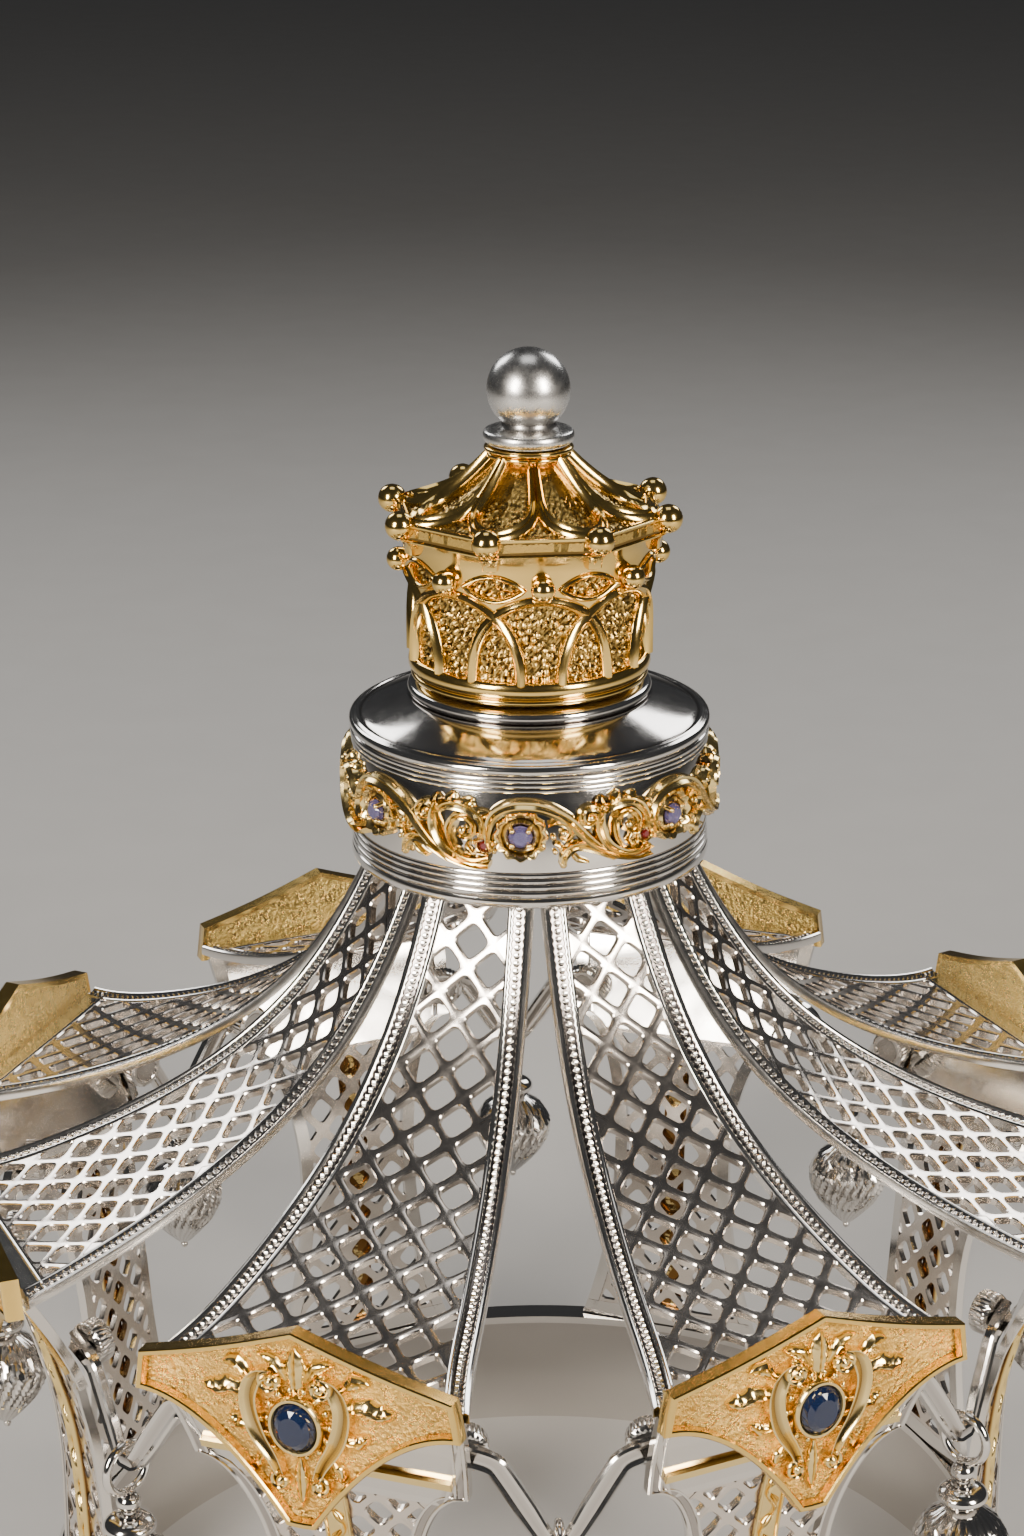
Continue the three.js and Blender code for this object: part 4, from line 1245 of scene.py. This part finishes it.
def gilt_strip(lay, length):
    """The gilt scrollwork down the middle of a lower arm, and the bar across its head."""
    body = Body()
    middle = np.stack([np.zeros(60), np.linspace(TAB + 1, length - 1, 60)], -1)
    body.ribbon(lay, middle, 2.3, 0.55, sink=ON_SHEET, section="flat")
    bar = np.stack([np.linspace(-21, 21, 14), np.full(14, TAB - 3.5)], -1)
    body.ribbon(lay, bar, 0.9, 1.1, sink=ON_SHEET, section="flat")
    for side in (-1, 1):
        body.ribbon(lay, middle + np.array([side * 2.0, 0]), 0.34, 1.1, sink=ON_SHEET, sides=6)
    s = np.linspace(TAB + 2, length - 2, 90)
    stem = np.stack([np.sin((s - TAB) * TURN / STRIP_WAVE), s], -1)
    body.ribbon(lay, stem, 0.45, 1.25, sink=ON_SHEET, base=0.1, sides=6)
    for k in range(int((length - TAB - 4) / (STRIP_WAVE / 2))):
        at = TAB + 4.2 + STRIP_WAVE / 2 * k
        side = -1 if k % 2 else 1
        body.leaf(lay, [(0.2 * side, at - 1.2), (-0.7 * side, at), (-0.9 * side, at + 1.5)], 0.62, 1.0,
                  lobes=2, sink=ON_SHEET, base=0.3, per_span=4)
    return body


def make_lower_arms():
    path = lower_path()
    lay, length = path.map(), path.length

    def width_at(s):
        return lower_width(s, length)

    def inner_edge(s):
        return np.maximum(width_at(s) - LOWER_BORDER, 2)

    plate = Body()
    lattice(plate, lay, inner_edge, (TAB + 2.5, length - 3), TAB + 7, LOWER_CELL)
    edge = lower_edge(lay, width_at, length)
    strip = gilt_strip(lay, length)
    show_round("lower_lattice", plate, arm_silver, "silver", "lower_arm", ARM_START, sharp=25)
    show_round("lower_edge", edge, polished_silver, "silver", None, ARM_START, sharp=35)
    show_round("gilt_strip", strip, chased_gold, "gold", None, ARM_START, sharp=45)


# ---- Plaques ----

def plaque_map(t, z, h):
    """Across, height above the plaque's stone, and out from its back."""
    down = PLAQUE_TOP - PLAQUE_STONE - z
    lean_sin, lean_cos = math.sin(PLAQUE_LEAN), math.cos(PLAQUE_LEAN)
    return place(t, PLAQUE_BACK - down * lean_sin + h * lean_cos, PLAQUE_STONE + z + h * lean_sin)


def on_plaque(t, z, h):
    """The same with the height counted from the tray's floor."""
    return plaque_map(t, z, PLAQUE_FLOOR + h)


def plaque_outline():
    """The plaque's edge, anticlockwise, densely along its curved sides."""
    top, shoulder, end_low, tip = (z - PLAQUE_STONE for z in (PLAQUE_TOP, 116.4, 109.6, 89.6))
    crest = [(PLAQUE_HALF * u, top + (shoulder - top) * u - 0.5 * math.sin(math.pi * u))
             for u in np.linspace(0, 1, 14)]
    hollow = [(26.6 - 24.2 * u, end_low + (tip - end_low) * u ** 1.9) for u in np.linspace(0, 1, 22)]
    right = crest + [(PLAQUE_HALF + 0.5, 0.5 * (shoulder + end_low))] + hollow
    left = [(-t, z) for t, z in right[:0:-1]]
    return np.array(right + [(0.8, tip - 0.15), (-0.8, tip - 0.15)] + left)[::-1]


def inset(outline, distance):
    """A closed outline moved inwards; corners stay mitred."""
    before = outline - np.roll(outline, 1, 0)
    after = np.roll(outline, -1, 0) - outline
    before /= np.linalg.norm(before, axis=1)[:, None]
    after /= np.linalg.norm(after, axis=1)[:, None]
    bend = before + after
    bend /= np.linalg.norm(bend, axis=1)[:, None]
    stretch = np.clip(np.sum(bend * after, 1), 0.55, 1)
    return outline + left_of(bend) * (distance / stretch)[:, None]


def plaque_tray(edge):
    """The tray's wall and rolled rim, open in the middle."""
    body = Body()
    body.skin([level(plaque_map, inset(edge, inset_by), h) for inset_by, h in (
        (1.0, 0), (0, 0), (0, PLAQUE_DEPTH - 0.3), (0.2, PLAQUE_DEPTH), (0.85, PLAQUE_DEPTH),
        (1.05, PLAQUE_DEPTH - 0.25), (1.15, PLAQUE_FLOOR + 0.1))], caps=False)
    return body


def plaque_ground(edge):
    body = Body()
    inner = inset(edge, 1.15)
    rows = [level(plaque_map, inner * share, PLAQUE_FLOOR) for share in (1, 0.7, 0.4, 0.05)]
    body.skin([level(plaque_map, inset(edge, 1.0), 0)] + rows)
    return body


def plaque_side(body, side):
    """One side's relief: a broad C-leaf, a curl at each end of it and the leaves that spring from it."""
    flip = np.array([side, 1])
    broad = smooth_line([(3.6, 8.6), (6.2, 7.6), (7.6, 4.4), (7.4, 0.8), (6.2, -2.8), (4.2, -6.2),
                         (3.0, -9.0)], 8) * flip
    body.ribbon(on_plaque, broad, taper(len(broad), 0.7, 1.5, 0.7), 2.1, section="hollow")
    for centre, radius, turns, count, widths, rise, eye in (
            ((4.0, 7.0), 2.0, 1.3, 24, (0.7, 0.75, 0.4), 2.2, (1.5, 0.8)),
            ((3.2, -10.4), 1.7, 1.2, 22, (0.6, 0.65, 0.35), 1.9, (1.3, 0.7))):
        centre = np.array(centre) * flip
        curl = volute(centre, radius, math.radians(90), -turns * side, 0.25, count)
        body.ribbon(on_plaque, curl, taper(count, *widths), rise)
        body.ball(on_plaque(*centre, eye[0]), eye[1], 12, 8)
    for line, wide, lobes in (([(7.4, 3.4), (10.6, 4.6), (13.4, 4.0), (15.8, 4.6)], 2.1, 5),
                              ([(7.2, 6.6), (9.4, 9.0), (12.2, 9.0)], 1.7, 4),
                              ([(6.6, -1.6), (9.6, -1.6), (11.6, -0.2)], 1.5, 4),
                              ([(1.6, 7.4), (3.4, 10.2), (6.4, 11.4)], 1.5, 4),
                              ([(4.8, -5.4), (6.6, -7.2), (6.9, -9.4)], 1.2, 3)):
        body.leaf(on_plaque, np.array(line) * flip, wide, 1.9, lobes)


def collet(body):
    """The smooth raised setting round the sapphire, and the beads at its foot."""
    angle = circle(64)
    body.skin([plaque_map((3.5 + grow) * np.cos(angle), (4.15 + grow) * np.sin(angle), np.full(64, h))
               for grow, h in ((1.5, 0.7), (1.25, 2.2), (1.0, 3.0), (0.72, 3.42), (0.3, 3.42),
                               (0.02, 3.1), (-0.1, 2.4), (-0.2, 0.7))], endless=True)
    for a in circle(14):
        body.ball(plaque_map(5.15 * math.cos(a), 5.8 * math.sin(a), 1.5), 0.55, 10, 6)


def plaque_relief():
    body = Body()
    for side in (-1, 1):
        plaque_side(body, side)
    body.leaf(on_plaque, [(0, 4.8), (0, 9.0), (0, 13.6)], 2.3, 2.3, 5)
    body.leaf(on_plaque, [(0, -6.0), (0, -10.0), (0, -15.2)], 1.6, 1.9, 5)
    collet(body)
    return body


def make_plaques():
    edge = plaque_outline()
    stone = Body()
    cut_stone(stone, plaque_map, (0, 0), (3.45, 4.1), 1.9, 2.9, 16)
    show_round("plaque_tray", plaque_tray(edge), polished_gold, "gold", "plaque", ARM_START, sharp=35)
    show_round("plaque_ground", plaque_ground(edge), stippled_gold, "gold", None, ARM_START, sharp=60)
    show_round("plaque_scrolls", plaque_relief(), chased_gold, "gold", None, ARM_START, sharp=45)
    show_round("sapphire_stone", stone, sapphire_blue, "sapphire", "sapphire", ARM_START, flat=True)


# ---- Struts and drops ----

def strut_bar(body):
    """The grooved bar: a shallow V that also bends back to both sides of its middle."""
    half_line = [(1.2, -0.3), (2.4, 0.8), (5.6, 6.0), (8.6, 10.8), (9.9, 12.4), (12.2, 13.3), (16.6, 14.2)]
    right = smooth_line(half_line, 6) + np.array([0, STRUT_LOW])
    line = np.vstack([right[::-1] * np.array([-1, 1]), right])
    across = left_of(directions_along(line))
    half = np.interp(np.abs(line[:, 0]), [1.2, 5, 16.6], [1.35, 1.8, 1.8])
    face = [(-1, 0.62), (-0.8, 1), (-0.45, 0.62), (0, 0.58), (0.45, 0.62), (0.8, 1), (1, 0.62)]
    back = [(v, -w) for v, w in face[::-1]]
    rows = []
    for v, w in back[::-1] + face[::-1]:
        at = line + across * (v * half)[:, None]
        rows.append(place(at[:, 0], STRUT_N - STRUT_BEND * np.abs(at[:, 0]) + w, at[:, 1]))
    body.skin(np.stack(rows, 1))


def thumb_nut(body, side):
    """A knurled nut under one end of the bar."""
    face = STRUT_N - STRUT_BEND * NUT_ACROSS - 0.95
    angle = circle(72)
    knurl = 1 - 0.035 * (np.cos(angle * NUT_TEETH) > -0.1)
    rows = []
    for radius, out, knurled in ((2.4, 0.1, 0), (3.1, 0.0, 0), (3.62, -0.35, 1), (3.72, -0.6, 1),
                                 (3.72, -3.0, 1), (3.62, -3.3, 1), (3.1, -3.6, 0), (2.6, -3.6, 0),
                                 (2.3, -3.4, 0), (1.2, -3.4, 0)):
        r = radius * (knurl if knurled else 1)
        rows.append(place(NUT_ACROSS * side + r * np.cos(angle), face + out, NUT_Z + r * np.sin(angle)))
    body.skin(rows)


def make_struts():
    body = Body()
    strut_bar(body)
    for side in (-1, 1):
        thumb_nut(body, side)
    show_round("strut_bar", body, polished_silver, "silver", "strut", 0, sharp=30)


def drop_ring(body):
    angle = circle(40)
    hoop = place(0 * angle, STRUT_N + 4.2 * np.cos(angle), RING_Z + 4.2 * np.sin(angle))
    body.tube(hoop, 0.78, 12, closed=True)


def drop_knobs(body):
    """The turned knob and the broad bead between the ring and the fluted drop."""
    z = RING_Z
    knob = arc((0, z - 6.1), (2.05, 1.75), 1.1, -1.1, 11)
    broad = arc((0, z - 10.5), (4.3, 2.1), 1.15, -1.05, 15)
    body.turned([(AXIS, z - 3.7), (0.9, z - 3.9), (1.25, z - 4.2), (1.0, z - 4.45), *knob,
                 (1.15, z - 7.75), (1.2, z - 8.0), (1.9, z - 8.1), (2.0, z - 8.35), (1.7, z - 8.5), *broad,
                 (2.3, z - 12.5), (AXIS, z - 12.6)], 48, (0, -STRUT_N))


def fluted_drop(body):
    """The twisted, fluted drop and the small ball at its tip."""
    around = circle(4 * FLUTES)
    rows = []
    for u in np.linspace(0, 1, 22):
        swell = np.interp(u, [0, 0.04, 0.15, 0.32, 0.5, 0.68, 0.84, 0.95, 1],
                          [0.25, 0.42, 0.78, 1.0, 0.96, 0.74, 0.42, 0.17, 0.04])
        groove = np.abs(np.sin(0.5 * FLUTES * (around + 1.15 * u)))
        depth = 0.09 * np.clip(min(u, 1 - u) * 9, 0, 1)
        radius = 8.2 * swell * (1 - depth * (1 - groove) ** 0.8)
        rows.append(place(radius * np.sin(around), STRUT_N + radius * np.cos(around),
                          RING_Z - 12.3 - 18.6 * u))
    body.skin(rows)
    body.ball((0, -STRUT_N, RING_Z - 31.0), 0.75, 12, 8)


def make_drops():
    body = Body()
    for part in (drop_ring, drop_knobs, fluted_drop):
        part(body)
    show_round("drop", body, polished_silver, "silver", "pendant", 0, sharp=35)


# ---- Base circlet ----

def make_circlet():
    top, outer, band = BASE_TOP, BASE_OUTER, BASE_BAND
    foot = arc((outer - 0.9, 1.5), (0.9, 1.5), -1.57, 1.2, 8)
    bead_low = arc((band + 0.1, 4.3), (0.7, 0.8), -1.3, 1.4, 6)
    bead_high = arc((band + 0.1, top - 6.6), (0.7, 0.8), -1.4, 1.3, 6)
    rim = arc((outer - 1.3, top - 2.6), (0.9, 2.1), -1.5, 1.3, 10)
    body = Body()
    body.turned([(band - 1.5, 0), *foot, *bead_low, (band, 5.4), (band, top - 7.6), *bead_high, *rim,
                 (outer - 1.6, top), (83.4, top), (83.4, top - 1.5), (band - 1.5, top - 1.5)],
                160, closed=True)
    show("circlet_band", body, polished_silver, "silver", ["base_circlet"], sharp=30)


def circlet_map(x, y, h):
    return polar(x / BASE_BAND, BASE_BAND + 0.1 + h, 12.9 + y)


def make_base_frieze():
    """A running stem round the band, with a curl and two leaves in each of its bends."""
    bends = 2 * ARMS
    span = TURN * BASE_BAND / bends
    x = np.linspace(0, bends * span, 16 * bends, endpoint=False)
    body = Body()
    stem = np.stack([x, 3.6 * np.sin(x / span * math.pi)], -1)
    body.ribbon(circlet_map, stem, 1.15, 1.8, closed=True, section="grooved")
    for k in range(bends):
        at = (k + 0.5) * span
        up = -1 if k % 2 else 1
        curl = volute((at, 0.4 * up), 2.9, math.radians(20 * up), -1.4 * up, 0.2, 30)
        body.ribbon(circlet_map, curl, taper(len(curl), 0.4, 0.75, 0.35), 1.5, section="grooved")
        body.ball(circlet_map(at, 0.4 * up, 0.8), 0.85, 12, 8)
        for line, wide, rise, lobes in (([(-6.5, 2.0), (-8.5, -1.6), (-12, -3.4)], 1.5, 1.5, 4),
                                        ([(4.5, 2.6), (6.5, 4.6), (9.5, 4.6)], 1.2, 1.4, 3)):
            body.leaf(circlet_map, np.array(line) * (1, up) + (at, 0), wide, rise, lobes)
    show("circlet_scrolls", body, chased_gold, "gold", sharp=45)


make_finial()
make_hub()
make_drum_ground()
make_roof_ground()
make_cupola_frame()
make_frieze()
make_upper_panels()
make_lower_arms()
make_plaques()
make_struts()
make_drops()
make_circlet()
make_base_frieze()
